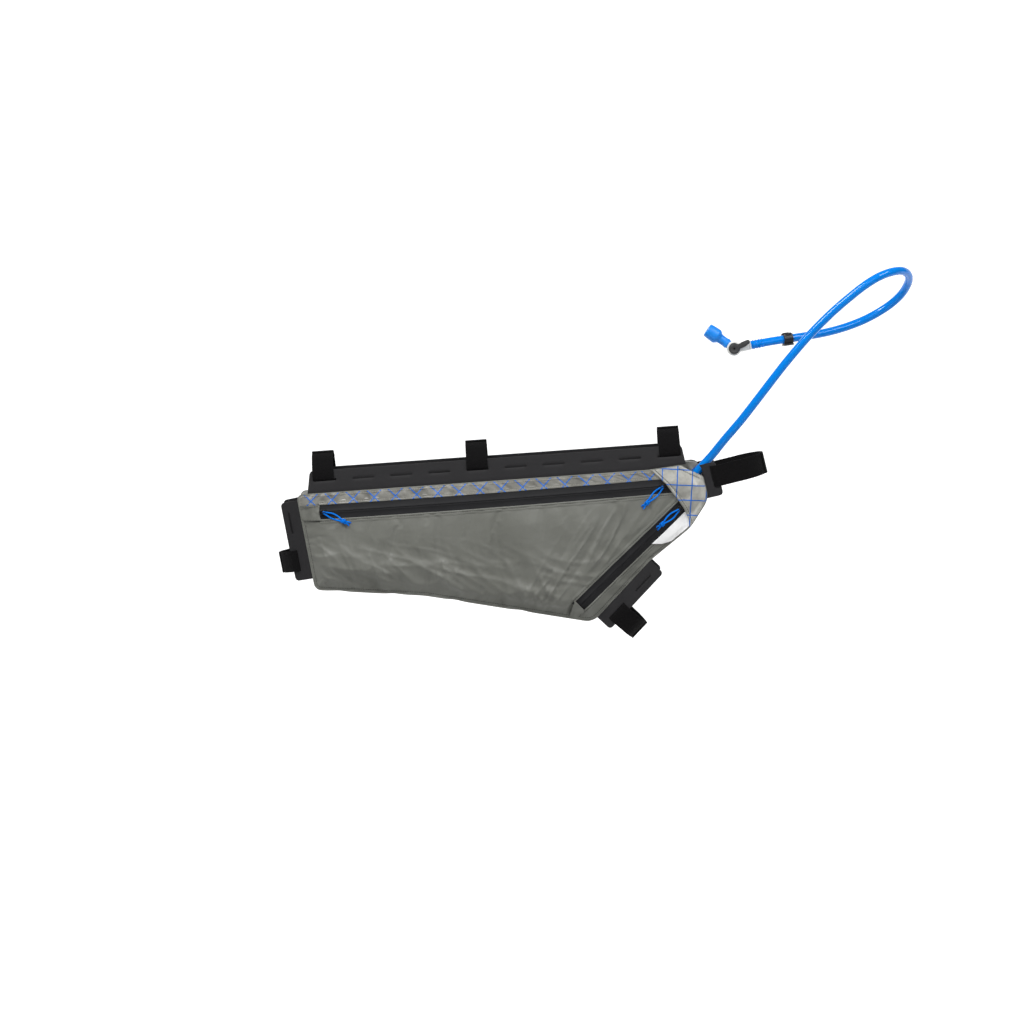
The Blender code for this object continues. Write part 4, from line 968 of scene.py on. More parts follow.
# Covers over the zips' ends. A small turned-in piece of body cloth hides the long zip's rear end, and another
# one the slanting zip's foot; seams run on from them to the edge of the bag.
cover_low = place(0.0130, 0.3665)
zip_lower = beside(top_zip_line, -ZIP_WIDTH / 2)
cover_foot, cover_head = zip_lower[0] + (0.0016, -0.0012), zip_upper[0] + (0.0010, 0.0004)
cover_edge = [cover_foot, (cover_foot + cover_head) / 2 + (-0.0012, 0), cover_head]


def rear_cover_lift(u, v, x, z):
    return 0.0006 + 0.0020 * u**1.5 - 0.0009 * max(0, u - 0.9) * 10 * 0.5 + 0.0004 * wave(12, u * 4, v * 3)


rear_cover = laid_patch(
    "rear_zip_cover",
    ([cover_low, cover_foot], [band_start, cover_head], [cover_low, band_start], cover_edge),
    18,
    12,
    rear_cover_lift,
)
thicken(rear_cover, 0.0008, 0.0003)
hand_over(rear_cover, body_cloth, "body_cloth", sharp=60)

slant_inner = beside(front_zip_line, FRONT_ZIP_WIDTH / 2)
slant_outer = beside(front_zip_line, -FRONT_ZIP_WIDTH / 2)
foot_hem = border_between(place(0.6600, 0.9850), place(0.6850, 1.0))
run = (front_zip_line[1] - front_zip_line[0]) / np.linalg.norm(front_zip_line[1] - front_zip_line[0])
inner_corner = slant_inner[0] + run * 0.0022 + (-0.0008, 0.0004)
outer_corner = slant_outer[0] + run * 0.0014 + (0.0008, -0.0004)
foot_cover = laid_patch(
    "slanting_zip_foot_cover",
    (foot_hem, [inner_corner, outer_corner], [foot_hem[0], inner_corner], [foot_hem[-1], outer_corner]),
    14,
    12,
    lambda u, v, x, z: 0.0002 + 0.0004 * math.sin(math.pi * u) + 0.0019 * v + 0.0001 * wave(13, u * 4, v * 4),
)
thicken(foot_cover, 0.0008, 0.0003)
hand_over(foot_cover, body_cloth, "body_cloth", sharp=60)

# Flap. A light cloth piece that hoods the hose port and the zips' front ends. Its rear edge is folded double and
# topstitched and stands off the bag, so that the pulls come out from under it; it wraps round the nose.
PORT_REAR, PORT_FRONT = BORDER[border_number(PORT_REAR)], BORDER[border_number(PORT_FRONT)]
nose = border_between(flap_edge[-1], PORT_FRONT)
flap_roof = border_between(PORT_REAR, flap_edge[0])
FLAP_DENTS = [  # place in shares, reach and height in metres
    ((0.925, 0.130), 0.0105, 0.0022),
    ((0.955, 0.200), 0.0075, -0.0012),
    ((0.970, 0.130), 0.0080, 0.0021),
    ((0.948, 0.265), 0.0062, 0.0018),
    ((0.980, 0.270), 0.0075, -0.0015),
    ((0.968, 0.345), 0.0070, 0.0010),
    ((0.900, 0.070), 0.0070, -0.0008),
]


def flap_lift(u, v, x, z):
    """The flap's height over the bag: its folded and stitched rear edge, its dents and the fold at the port."""
    from_fold = u * 0.034
    fold_bulge = 0.0015 * math.exp(-(((from_fold - 0.0018) / 0.0015) ** 2))
    fold_bulge -= 0.0012 * math.exp(-((from_fold / 0.0005) ** 2))
    stitch_dip = -0.0007 * math.exp(-(((from_fold - 0.0037) / 0.0007) ** 2))
    stand = 0.0018 * math.exp(-from_fold / 0.008) * math.sin(math.pi * min(max(v, 0.03), 0.97)) ** 0.5
    dents = sum(
        h * math.exp(-(np.sum((np.array([x, z]) - place(*s)) ** 2) / reach**2)) for s, reach, h in FLAP_DENTS
    )
    port_side = (1 - u) * 0.030
    port_fold = 0.0006 * math.exp(-(((port_side - 0.0016) / 0.0014) ** 2)) * (0.1 < v)
    small = 0.0005 * wave(15, x * 150, z * 150) * math.sin(math.pi * u) ** 0.5
    return 0.0016 + fold_bulge + stitch_dip + stand + dents + port_fold + small


flap = laid_patch(
    "port_flap_cloth",
    (nose, flap_roof[::-1], flap_edge[::-1], [PORT_FRONT, PORT_REAR]),
    72,
    64,
    flap_lift,
)
thicken(flap, 0.0007, 0.0002)
mesh = flap.data
flap_surface = BVHTree.FromPolygons([v.co[:] for v in mesh.vertices], [p.vertices[:] for p in mesh.polygons])
fold_row = beside(even_line(flap_edge, 0.002)[1:-1], 0.0037)
port_row = even_line([PORT_REAR + (-0.0022, -0.0032), PORT_FRONT + (-0.0022, -0.0030)], 0.002)
flap_rows = [stitch_row(row, 0.0001, flap_surface) for row in (fold_row, port_row)]
sew("flap_stitches", flap_rows, shaded_thread, "light_cloth")
lay_grid(flap, FLAP_CROSSING, math.radians(-3.0))
# The light falls brighter on the flap in the photograph, so it gets a lighter tone of the same cloth.
flap_cloth = light_cloth.copy()
flap_cloth.name = "bright_grid_ripstop_nylon"
tone = next(node for node in flap_cloth.node_tree.nodes if node.type == "VALTORGB")
tone.color_ramp.elements[0].color, tone.color_ramp.elements[1].color = linear("#8B8A83"), linear("#C4C3BC")
hand_over(flap, flap_cloth, "light_cloth", "port_flap", sharp=70)

# Reflective patch. A silver-white glass-bead film on cloth, sewn in between the slanting zip, the flap and the
# front edge.
# Film of fine glass beads: it gives back most of the light, with the faintest grain. Its pure white is partly the
# film's silver-white and partly painted reflection of that returned light.
reflective, tree, shader = new_material("glass_bead_reflective_film", "#FFFFFF", 0.40, Coat_Weight=0.3)
spot = add_node(tree, "ShaderNodeTexCoord").outputs["Object"]
beads = add_node(tree, "ShaderNodeTexVoronoi", {"Vector": spot}, scale=2500).outputs["Distance"]
add_node(
    tree, "ShaderNodeBump", {"Height": beads}, {"Normal": shader.inputs["Normal"]}, distance=0.0001, strength=0.35
)
patch_foot = [place(0.8640, 0.5360), place(0.8880, 0.5080), BORDER[border_number(place(0.9130, 0.4990))]]
patch_hem = beside(border_between(patch_foot[-1], flap_edge[-1]), 0.0013)
zip_side = np.array([p for p in even_line(slant_outer, 0.002) if p[0] > patch_foot[0][0] - 0.001])
zip_side += (-0.0002, 0.0002)
patch_foot[0], patch_foot[-1] = zip_side[0], patch_hem[0]


def patch_lift(u, v, x, z):
    return 0.0014 + 0.0004 * math.sin(math.pi * u) * math.sin(math.pi * v) + 0.0003 * wave(16, x * 90, z * 90)


patch = laid_patch(
    "reflective_film",
    (patch_hem, zip_side, patch_foot[::-1], [patch_hem[-1], flap_edge[-2] + (0.004, 0), zip_side[-1]]),
    34,
    18,
    patch_lift,
    stiff=8,
)
thicken(patch, 0.0005)
hand_over(patch, reflective, "reflective_cloth", "reflective_patch", sharp=70)

# Seams and stitches. Rows of lockstitches beside the zips, on the covers and round the near side's edge, and the
# rolled seams between the sides and the gusset.
ROW_OFF_FOLD = 0.0024
SEAM_ROLL = 0.0020
hem_line = beside(border_between(place(0.0150, 0.4000), place(0.955, 0.41)), 0.0030)
body_rows = [
    stitch_row(beside(longer(top_zip_line, 0.019, 0.004), -ZIP_WIDTH / 2 - ROW_OFF_FOLD), 0.0006),
    stitch_row(beside(longer(front_zip_line, 0.0, 0.0), FRONT_ZIP_WIDTH / 2 + ROW_OFF_FOLD), 0.0006),
    stitch_row(beside(longer(front_zip_line, 0.0, -0.042), -FRONT_ZIP_WIDTH / 2 - ROW_OFF_FOLD), 0.0006),
    stitch_row([foot_hem[0] + (0, 0.002), slant_inner[0] + (-0.0012, 0)], 0.0010),
    stitch_row([foot_hem[-1] + (0, 0.002), slant_outer[0] + (0.0012, 0)], 0.0010),
    stitch_row([band_start + (0.0015, -0.0012), zip_upper[0] + (-0.001, -0.0012)], 0.0020),
    stitch_row(hem_line, 0.0001),
]
sew("body_stitches", body_rows, shaded_thread, "body_cloth")
band_rows = [
    stitch_row(beside(longer(top_zip_line, 0.017, 0.002), ZIP_WIDTH / 2 + ROW_OFF_FOLD), 0.0007),
    stitch_row(beside(roof, 0.0022), 0.0010),
]
sew("band_stitches", band_rows, pale_thread, "light_cloth")

for name, y, spots, closed in (
    ("near_side_seam", -EDGE_WIDTH / 2 + 0.0001, border_between(PORT_REAR, PORT_FRONT), False),
    ("far_side_seam", EDGE_WIDTH / 2 - 0.0001, BORDER, True),
):
    line = [(x, y, z + hem_wave(x, z)) for x, z in spots[::2]]
    hand_over(round_cords(name, [line], SEAM_ROLL, cyclic=closed, resolution=2), body_cloth, "body_cloth")

# Lash strips. Black coated nylon, 1.2 mm, cut with rounded outer corners and a row of slots 46 mm apart. They are
# sewn into both side seams in pairs and lean towards the tube that they lie against.
STRIP_HEIGHT = 0.0270
STRIP_THICKNESS = 0.0012
STRIP_STAND = 0.0009
STRIP_FOOT = EDGE_WIDTH / 2 - STRIP_THICKNESS / 2
STRIP_CORNER = 0.0045
HOSE_SIDE_CORNER = 0.0075  # cut back where the hose passes
SLOT_LENGTH = 0.0264
SLOT_HEIGHT = 0.0024
SLOT_PITCH = 0.0463
STRAP_WIDTH = 0.0256
STRAP_THICKNESS = 0.0016
LAID_GAP = 0.0003
STRIPS = {  # ends on the outline, height, slots' rise, first slot, and the tube's diameter and distance
    "top": ((0.0245, 0.2020), (0.9480, 0.0200), 1.000, 0.556, 0.450, 0.0380, 0.0270),
    "rear": ((0.0025, 0.2400), (0.0390, 0.7320), 0.815, 0.519, 0.547, 0.0316, 0.0184),
    "front": ((0.8589, 0.6146), (0.7300, 0.9730), 0.796, 0.444, 0.551, 0.0460, 0.0258),
    "head": ((0.9772, 0.0050), (0.9985, 0.2250), 0.704, 0.426, 0.415, 0.0540, 0.0480),
}
# Nylon with a rubbery coat on both faces: a low even gloss with a fine grain.
coated_strip, tree, shader = new_material("black_coated_nylon", "#1E1D1F", 0.60, Specular_IOR_Level=0.4)
spot = add_node(tree, "ShaderNodeTexCoord").outputs["Object"]
grain = add_node(tree, "ShaderNodeTexNoise", {"Vector": spot}, scale=700, detail=3).outputs["Fac"]
add_node(
    tree, "ShaderNodeBump", {"Height": grain}, {"Normal": shader.inputs["Normal"]}, distance=0.0003, strength=0.3
)


class Strip:
    """Where a pair of strips stands: its foot's line, the way out from the bag and its lean."""

    def __init__(self, name):
        first, last, height, rise, first_slot, diameter, stand = STRIPS[name]
        self.first, self.last = place(*first), place(*last)
        self.height, self.rise = height * STRIP_HEIGHT, rise * STRIP_HEIGHT
        self.name, self.diameter, self.stand = name, diameter, stand
        target = self.last
        if name == "top":
            target = self.first + place(*OUTLINE[8][:2]) - place(*OUTLINE[0][:2])
        self.way = (target - self.first) / np.linalg.norm(target - self.first)
        self.out = np.array([-self.way[1], self.way[0]])
        if (self.first - place(0.45, 0.5)) @ self.out < 0:
            self.out = -self.out
        around = diameter / 2 + STRAP_THICKNESS + 2 * LAID_GAP + STRIP_THICKNESS / 2
        past_tube = math.asin(min(around / math.hypot(STRIP_FOOT, stand), 1))
        self.lean = math.atan2(stand, -STRIP_FOOT) - past_tube - math.pi / 2
        lines = [border_between(self.first, self.last), border_between(self.last, self.first)[::-1]]
        edge = min(lines, key=len)
        self.foot = [((p - self.first) @ self.way, (p - self.first) @ self.out / math.cos(self.lean)) for p in edge]
        start, room = first_slot * SLOT_PITCH, (self.last - self.first) @ self.way
        count = 1 + max(0, int((room - start - SLOT_LENGTH / 2 - STRIP_CORNER) / SLOT_PITCH))
        self.slots = [start + k * SLOT_PITCH for k in range(count)]
        self.slant = STRIP_CORNER if name == "top" else 0.0

    def beside(self, up, off=0.0):
        """A spot across the tube: (lateral, out from the bag's edge) at a height on the strip and off its face."""
        return np.array(
            [
                STRIP_FOOT - up * math.sin(self.lean) + off * math.cos(self.lean),
                STRIP_STAND + up * math.cos(self.lean) + off * math.sin(self.lean),
            ]
        )

    def point(self, side, along, lateral, rise):
        x, z = self.first + self.way * along + self.out * rise
        return np.array([x, side * lateral, z])


def strip_plate(name, strip, side):
    """One strip: a grid that fits its slots and corners, with the slots' cells deleted."""
    start, end = strip.foot[0][0], strip.foot[-1][0]
    half, thin = SLOT_LENGTH / 2, SLOT_HEIGHT / 2
    c = STRIP_CORNER
    first_c = HOSE_SIDE_CORNER if strip.name == "head" and side < 0 else c
    marks = [start + first_c * s for s in (0, 0.12, 0.25, 0.5, 0.75, 1)] + [end - c, end - c / 2, end - c / 4, end]
    for middle in strip.slots:
        marks += [middle - half, middle + half]
    marks = sorted(set(round(m, 6) for m in marks))
    stations_along = []
    for a, b in zip(marks, marks[1:]):
        steps = max(1, round((b - a) / 0.004))
        stations_along += [a + (b - a) * k / steps for k in range(steps)]
    stations_along.append(marks[-1])
    low, high, top = strip.rise - thin, strip.rise + thin, strip.height
    heights = [0, low * 0.35, low * 0.7, low, high, high + (top - c - high) * 0.5]
    heights += [top - c, top - c * 0.75, top - c / 2, top - c / 4, top]
    foot_x, foot_up = zip(*sorted(strip.foot))
    places = []
    for along in stations_along:
        base = float(np.interp(along, foot_x, foot_up))
        column = []
        for height in heights:
            up = base + (low - base) * height / low if height < low else height
            x = along
            for corner, way, wide in ((start, 1, first_c), (end, -1, c)):
                inset_x, inset_up = (x - corner) * way, top - up
                if inset_x < wide and inset_up < c:
                    a, b = 1 - inset_x / wide, 1 - inset_up / c
                    reach = max(a, b) / max(math.hypot(a, b), 1e-9)
                    x, up = corner + way * wide * (1 - a * reach), top - c * (1 - b * reach)
            lean_in = strip.slant * up / top
            x += lean_in * (1 - 2 * (along - start) / (end - start)) if strip.slant else 0
            off = 0.0006 * wave(20 + side, along * 38, up * 25) * min(up / 0.01, 1)
            near_slot = any(abs(along - s) < half + 0.003 for s in strip.slots)
            lateral, rise = strip.beside(up, off * (0.35 if near_slot else 1))
            column.append(strip.point(side, x, lateral, rise))
        places.append(column)
    obj = grid_piece(name, places)
    cells = bmesh.new()
    cells.from_mesh(obj.data)
    columns = len(stations_along) - 1
    cells.faces.ensure_lookup_table()
    gone = []
    for index, face in enumerate(cells.faces):
        column, row = index % columns, index // columns
        middle = (stations_along[column] + stations_along[column + 1]) / 2
        if row == 3 and any(abs(middle - s) < half for s in strip.slots):
            gone.append(face)
    bmesh.ops.delete(cells, geom=gone, context="FACES")
    bmesh.ops.recalc_face_normals(cells, faces=cells.faces)
    cells.to_mesh(obj.data)
    cells.free()
    thicken(obj, STRIP_THICKNESS, 0.0003, offset=0)
    return obj


strips = {name: Strip(name) for name in STRIPS}
for name, strip in strips.items():
    for side, label in ((-1, "near"), (1, "far")):
        plate = strip_plate(f"{name}_lash_strip_{label}", strip, side)
        hand_over(plate, coated_strip, "coated_strip", f"{name}_strip_{label}", sharp=35)

# Straps. Six lengths of black hook-and-loop tape, 25.6 mm wide. Each goes in through the near strip's slot, under
# the tube and out through the far one, and closes over the tube with its end lying double.
STRAPS = {  # strip, and which of its slots as a share of the row
    "top_strap_rear": ("top", 0),
    "top_strap_middle": ("top", 0.45),
    "top_strap_front": ("top", 1),
    "seat_tube_strap": ("rear", 1),
    "down_tube_strap": ("front", 1),
    "head_tube_strap": ("head", 0),
}
# Woven tape with a dense pile of small loops: it swallows the light and looks the blackest of all.
hook_and_loop, tree, shader = new_material(
    "hook_and_loop_tape", "#0E0D0E", 0.98, Sheen_Weight=0.02, Sheen_Roughness=0.6, Specular_IOR_Level=0.12
)
spot = add_node(tree, "ShaderNodeTexCoord").outputs["Object"]
pile = add_node(tree, "ShaderNodeTexNoise", {"Vector": spot}, scale=1100, detail=4, roughness=0.7).outputs["Fac"]
tufts = add_node(tree, "ShaderNodeTexNoise", {"Vector": spot}, scale=330, detail=2).outputs["Fac"]
fuzz = add_node(tree, "ShaderNodeMath", {0: pile, 1: tufts}, operation="ADD").outputs[0]
add_node(
    tree, "ShaderNodeBump", {"Height": fuzz}, {"Normal": shader.inputs["Normal"]}, distance=0.0009, strength=0.8
)


def hull(points):
    """The convex hull of flat points, anticlockwise."""
    points = sorted(map(tuple, points))

    def chain(ordered):
        kept = []
        for p in ordered:
            while len(kept) > 1 and (
                (kept[-1][0] - kept[-2][0]) * (p[1] - kept[-2][1]) - (kept[-1][1] - kept[-2][1]) * (p[0] - kept[-2][0])
            ) <= 0:
                kept.pop()
            kept.append(p)
        return kept[:-1]

    return [np.array(p) for p in chain(points) + chain(points[::-1])]


def rounded(line, closed):
    """A line with its corners rounded twice."""
    for _ in range(2):
        pairs = list(zip(line, [*line[1:], line[0]] if closed else line[1:]))
        cut = [p for a, b in pairs for p in (a * 0.75 + b * 0.25, a * 0.25 + b * 0.75)]
        line = cut if closed else [line[0], *cut, line[-1]]
    return line


def strap_ways(strip):
    """A strap's way over the tube, from the far slot to the near one, and its way back under the tube."""
    clear = STRIP_THICKNESS / 2 + LAID_GAP + STRAP_THICKNESS / 2
    wall = strip.diameter / 2 + LAID_GAP + STRAP_THICKNESS / 2
    turns = [2 * math.pi * k / 48 for k in range(48)]
    tube = [np.array([wall * math.sin(t), strip.stand + wall * math.cos(t)]) for t in turns]
    outside, edge = strip.beside(strip.rise, clear), strip.beside(strip.height, clear)
    inside = strip.beside(strip.rise, -clear)
    mirror = np.array([-1, 1])

    def run(loop, start, end):
        first = min(range(len(loop)), key=lambda i: np.linalg.norm(loop[i] - start))
        loop = loop[first:] + loop[:first]
        last = min(range(len(loop)), key=lambda i: np.linalg.norm(loop[i] - end))
        return loop[: last + 1]

    over = run(hull([*tube, outside, edge, outside * mirror, edge * mirror]), outside, outside * mirror)
    return over, run(hull([*tube, inside, inside * mirror]), inside * mirror, inside)


def strap_ribbon(name, strip, line, along, closed, seed):
    """A tape of the strap's width along a line across the tube."""
    line = even_line([*line, line[0]] if closed else line, 0.0018)
    half = STRAP_WIDTH / 2
    places = []
    for i, (lateral, rise) in enumerate(line):
        if closed and i == len(line) - 1:
            places.append(places[0])
            continue
        row = []
        for share in (-1, -0.93, -0.6, -0.2, 0.2, 0.6, 0.93, 1):
            fray = 0.00018 * wave(seed, i * 0.9, share * 3) if abs(share) == 1 else 0
            row.append(strip.point(1, along + share * half + fray, lateral, rise))
        places.append(row)
    obj = grid_piece(name, places, merged=True)
    thicken(obj, STRAP_THICKNESS, 0.0005, offset=0)
    return obj


for number, (name, (strip_name, share)) in enumerate(STRAPS.items()):
    strip = strips[strip_name]
    along = strip.slots[round(share * (len(strip.slots) - 1))]
    over, under = strap_ways(strip)
    loop = strap_ribbon(name + "_loop", strip, rounded([*over, *under], True), along, True, 30 + number)
    double = over[2 : round(len(over) * 0.62)]
    lifted = beside(np.array(double), -STRAP_THICKNESS * 1.06)
    tab = strap_ribbon(name + "_end", strip, list(lifted), along, False, 40 + number)
    hand_over(joined(name + "_tape", loop, tab), hook_and_loop, "hook_and_loop", name, sharp=50)

# Sliders and pulls. Small black sliders with a bridge, and a loop of 2 mm blue cord through each bridge, closed
# with an overhand knot whose two short ends fray.
SLIDER_LENGTH = 0.0085
SLIDER_WIDTH = 0.0066
PULL_CORD = 0.0020
PULL_LINE = PULL_CORD * 0.95  # pulled tight
FIBRE = 0.00032
# Die-cast zinc under black enamel: smooth, with a small hard gloss.
slider_metal, _, _ = new_material("black_enamelled_zinc", "#141415", 0.35, Metallic=0.6)
# Braided polyester: matt, with the braid's small bumps.
cord_blue, tree, shader = new_material(
    "blue_braided_polyester", "#0078E4", 0.7, Sheen_Weight=0.02, Specular_IOR_Level=0.12
)
spot = add_node(tree, "ShaderNodeTexCoord").outputs["Object"]
braid = add_node(tree, "ShaderNodeTexVoronoi", {"Vector": spot}, scale=1500).outputs["Distance"]
add_node(
    tree, "ShaderNodeBump", {"Height": braid}, {"Normal": shader.inputs["Normal"]}, distance=0.0003, strength=0.6
)


def way_of(line, end):
    run = line[-1] - line[-2] if end else line[1] - line[0]
    return run / np.linalg.norm(run)


PULLS = {  # the slider's middle, the zip's direction and the way that the pull hangs, in degrees from the front
    "rear": (top_zip_line[0] + way_of(top_zip_line, False) * 0.0052, way_of(top_zip_line, False), -23),
    "top": (np.array([0.2213, -0.0309]), way_of(top_zip_line, True), -134),
    "front": (np.array([0.2409, -0.0586]), way_of(front_zip_line, True), -139),
}


def pull_route(spot, tilt, seed):
    """The cord's line from one frayed end to the other, on the near side's face."""
    angle = math.radians(tilt)
    way = np.array([math.cos(angle), math.sin(angle)])
    side = np.array([-way[1], way[0]])

    def at(along, across, lift):
        x, z = spot + (way * along + side * across) / 1000
        return side_point(x, z, lift / 1000)

    sway = 0.5 * wave(seed, 0.3)
    first = [(33.6, 1.5, 1.2), (31.6, 1.1, 1.6), (29.6, 0.7, 2.2), (26.0, 0.6, 2.5), (22.5, 1.2, 2.1)]
    strands = [(17, 2.5 + sway, 1.5), (11, 2.9 + sway, 1.5), (5.5, 1.9, 2.6), (1.6, 1.0, 4.0), (-0.3, 0, 4.4)]
    back = [(a, -c, h) for a, c, h in strands[-2::-1]] + [(22.3, -1.5, 2.0)]
    turns = []
    for k in range(21):
        turn = -math.pi * 0.65 - k / 20 * math.pi * 4.4
        along = 24.2 + 4.6 * k / 20
        turns.append((along, 2.1 * math.cos(turn), 2.9 + 1.9 * math.sin(turn)))
    last = [(30.0, -0.9, 2.2), (31.4, -1.3, 1.6), (32.9, -1.9 - sway / 2, 1.2)]
    ends = [at(33.6, 1.5, 1.2), at(32.9, -1.9 - sway / 2, 1.2)]
    return [at(*p) for p in (*first, *strands, *back, *turns, *last)], ends, way


for number, (label, (spot, run, tilt)) in enumerate(PULLS.items()):
    across = np.array([-run[1], run[0]])
    height = -side_point(*spot)[1] + 0.0014
    rings = []
    for lift, grow in ((0, 0.86), (0.0004, 1), (0.0016, 1), (0.0024, 0.90), (0.0027, 0.72)):
        ring = []
        for t in np.linspace(0, 2 * math.pi, 40, endpoint=False):
            u, v = math.cos(t), math.sin(t)
            reach = (abs(u) ** 4 + abs(v) ** 4) ** -0.25
            waist = 1 - 0.22 * math.exp(-((u * reach / 0.35) ** 2))
            lengthways = run * u * reach * SLIDER_LENGTH / 2 * grow
            x, z = spot + lengthways + across * v * reach * waist * SLIDER_WIDTH / 2 * grow
            ring.append((x, -height - lift, z))
        rings.append(ring)
    body = lofted("slider_body", rings)
    bridge = []
    for t in np.linspace(0, 1, 12):
        x, z = spot + run * (t - 0.5) * SLIDER_LENGTH * 0.62
        bridge.append((x, -height - 0.0022 - 0.0021 * math.sin(math.pi * t) ** 0.6, z))
    arch = as_mesh(round_cords("bridge", [bridge], 0.0013, resolution=3))
    hand_over(joined(f"slider_{label}", body, arch), slider_metal, "slider_black", f"zip_slider_{label}")

    route, ends, way = pull_route(spot, tilt, 50 + number)
    cord = as_mesh(round_cords(f"pull_{label}", [smooth_line(route, 0.0006)], PULL_LINE))
    random.seed(60 + number)
    fibres = []
    for end in ends:
        for _ in range(14):
            spread = Vector((way[0], 0, way[1])) * 1.4 + Vector([random.uniform(-1, 1) for _ in range(3)])
            step = np.array(spread.normalized()) * random.uniform(0.0006, 0.0011)
            start = end + np.array([random.uniform(-0.5, 0.5) for _ in range(3)]) * PULL_CORD * 0.7
            fibres.append([start, start + step, start + step * 1.9 + (0, 0, -0.0003)])
    fray = as_mesh(round_cords("fray", fibres, FIBRE, resolution=1))
    hand_over(joined(f"pull_cord_{label}", cord, fray), cord_blue, "cord_blue", f"zip_pull_{label}")

# Port sleeve. A gathered sleeve of the light cloth closes the port round the hose: it starts at the opening in
# the nose and ends in a turned hem on the hose.
exit_point = np.array(HOSE_EXIT)
hose_way = np.array(HOSE_ROUTE[2]) - np.array(HOSE_ROUTE[0])
hose_way /= np.linalg.norm(hose_way)
hose_side = np.array([0.0, 1.0, 0.0])
hose_up = np.cross(hose_way, hose_side)
hose_up /= np.linalg.norm(hose_up)
hose_side = np.cross(hose_up, hose_way)
mouth_middle = np.array([*((PORT_REAR + PORT_FRONT) / 2), 0])[[0, 2, 1]]
mouth_middle += (0, (PORT_DEPTH - EDGE_WIDTH / 2) / 2, 0)
mouth_half = np.array([*((PORT_FRONT - PORT_REAR) / 2 * 1.03), 0])[[0, 2, 1]]
deep_half = np.array([0, (PORT_DEPTH + EDGE_WIDTH / 2) / 2 * 1.04, 0])
rings = []
for share in np.linspace(0, 1, 15):
    ring = []
    for t in np.linspace(0, 2 * math.pi, 72, endpoint=False):
        u, v = math.cos(t), math.sin(t)
        reach = (abs(u) ** 5 + abs(v) ** 5) ** -0.2
        at_mouth = mouth_middle + mouth_half * u * reach + deep_half * v * reach
        gather = 0.0004 * math.sin(11 * t) * math.sin(math.pi * min(share * 1.15, 1))
        gather += 0.00035 * wave(70, u * 3, v * 3, share * 3)
        radius = 0.0060 + 0.0006 * math.exp(-(((share - 0.97) / 0.035) ** 2)) + gather
        at_hose = exit_point + hose_way * (-0.0100 + 0.004 * share) + hose_side * radius * v + hose_up * radius * u
        blend = min(share / 0.62, 1)
        blend = blend * blend * (3 - 2 * blend)
        ring.append(at_mouth * (1 - blend) + at_hose * blend)
    rings.append(ring)
sleeve = grid_piece("port_sleeve", [np.vstack([ring, ring[:1]]) for ring in rings], merged=True)
thicken(sleeve, 0.0006, offset=1)
lay_grid(sleeve, FLAP_CROSSING, math.radians(40))
hand_over(sleeve, light_cloth, "light_cloth", "port_cuff", sharp=80)

# The wall between the port and the far half of the nose, a gathered piece of the same cloth.
WALL_COLUMNS, WALL_ROWS = 24, 8
port_ends = [PORT_FRONT, PORT_FRONT], [PORT_REAR, PORT_REAR]
port_corner = border_between(PORT_FRONT, PORT_REAR)
wall_spots = stretched_grid([PORT_FRONT, PORT_REAR], port_corner, *port_ends, WALL_COLUMNS, WALL_ROWS)
wall_places = []
for c in range(WALL_COLUMNS + 1):
    puff = math.sin(math.pi * c / WALL_COLUMNS)
    column = []
    for r in range(WALL_ROWS + 1):
        x, z = wall_spots[c, r]
        y = PORT_DEPTH - 0.0006 - 0.0030 * puff * (1 - r / WALL_ROWS) - 0.0006 * wave(71, x * 200, z * 200) * puff
        column.append((x, y, z + 0.0012 * puff * r / WALL_ROWS))
    wall_places.append(column[::-1])
port_wall = grid_piece("port_inner_wall", wall_places, merged=True)
thicken(port_wall, 0.0007, 0.0002)
lay_grid(port_wall, FLAP_CROSSING, math.radians(40))
hand_over(port_wall, light_cloth, "light_cloth", sharp=80)

# Hose clip. A black nylon clip with two lips that snap on the hose, and a flat foot by which it holds on the
# handlebar.
# Moulded nylon: half matt, with the mould's fine spark grain.
clip_black, tree, shader = new_material("black_moulded_nylon", "#18181A", 0.42)
spot = add_node(tree, "ShaderNodeTexCoord").outputs["Object"]
grain = add_node(tree, "ShaderNodeTexNoise", {"Vector": spot}, scale=1500, detail=2).outputs["Fac"]
add_node(
    tree, "ShaderNodeBump", {"Height": grain}, {"Normal": shader.inputs["Normal"]}, distance=0.0001, strength=0.3
)
clip_middle = np.array([0.3712, 0.0026, 0.1441])
clip_down = np.array([0.1347, 0.0, -0.9909])
clip_axis = np.array([-0.9598, -0.2485, -0.1305])
clip_side = np.cross(clip_down, clip_axis)
bore, rim = 0.0055, 0.0072
rings = []
lip_turns = math.radians(38), math.radians(322)
for t in np.linspace(*lip_turns, 40):
    lip = 0.0009 * sum(math.exp(-(((t - turn) / 0.14) ** 2)) for turn in lip_turns)
    spoke = -clip_down * math.cos(t) + clip_side * math.sin(t)
    section = []
    for radius, z in (
        (bore, -0.0052), (bore + 0.0004, -0.0057), (rim + lip - 0.0005, -0.0057), (rim + lip, -0.0052),
        (rim + lip, 0.0052), (rim + lip - 0.0005, 0.0057), (bore + 0.0004, 0.0057), (bore, 0.0052),
    ):
        section.append(clip_middle + spoke * radius + clip_axis * z)
    rings.append(section)
collar = lofted("clip_collar", rings)
rings = []
for depth, grow in ((0.0052, 0.84), (0.0060, 0.94), (0.0066, 1), (0.0074, 1), (0.0077, 0.96)):
    ring = []
    for t in np.linspace(0, 2 * math.pi, 48, endpoint=False):
        u, v = math.cos(t), math.sin(t)
        reach = (abs(u) ** 6 + abs(v) ** 6) ** (-1 / 6)
        flat = clip_side * u * reach * 0.0068 * grow + clip_axis * v * reach * 0.0062 * grow
        ring.append(clip_middle + clip_down * depth + flat)
    rings.append(ring)
foot = lofted("clip_foot", rings)
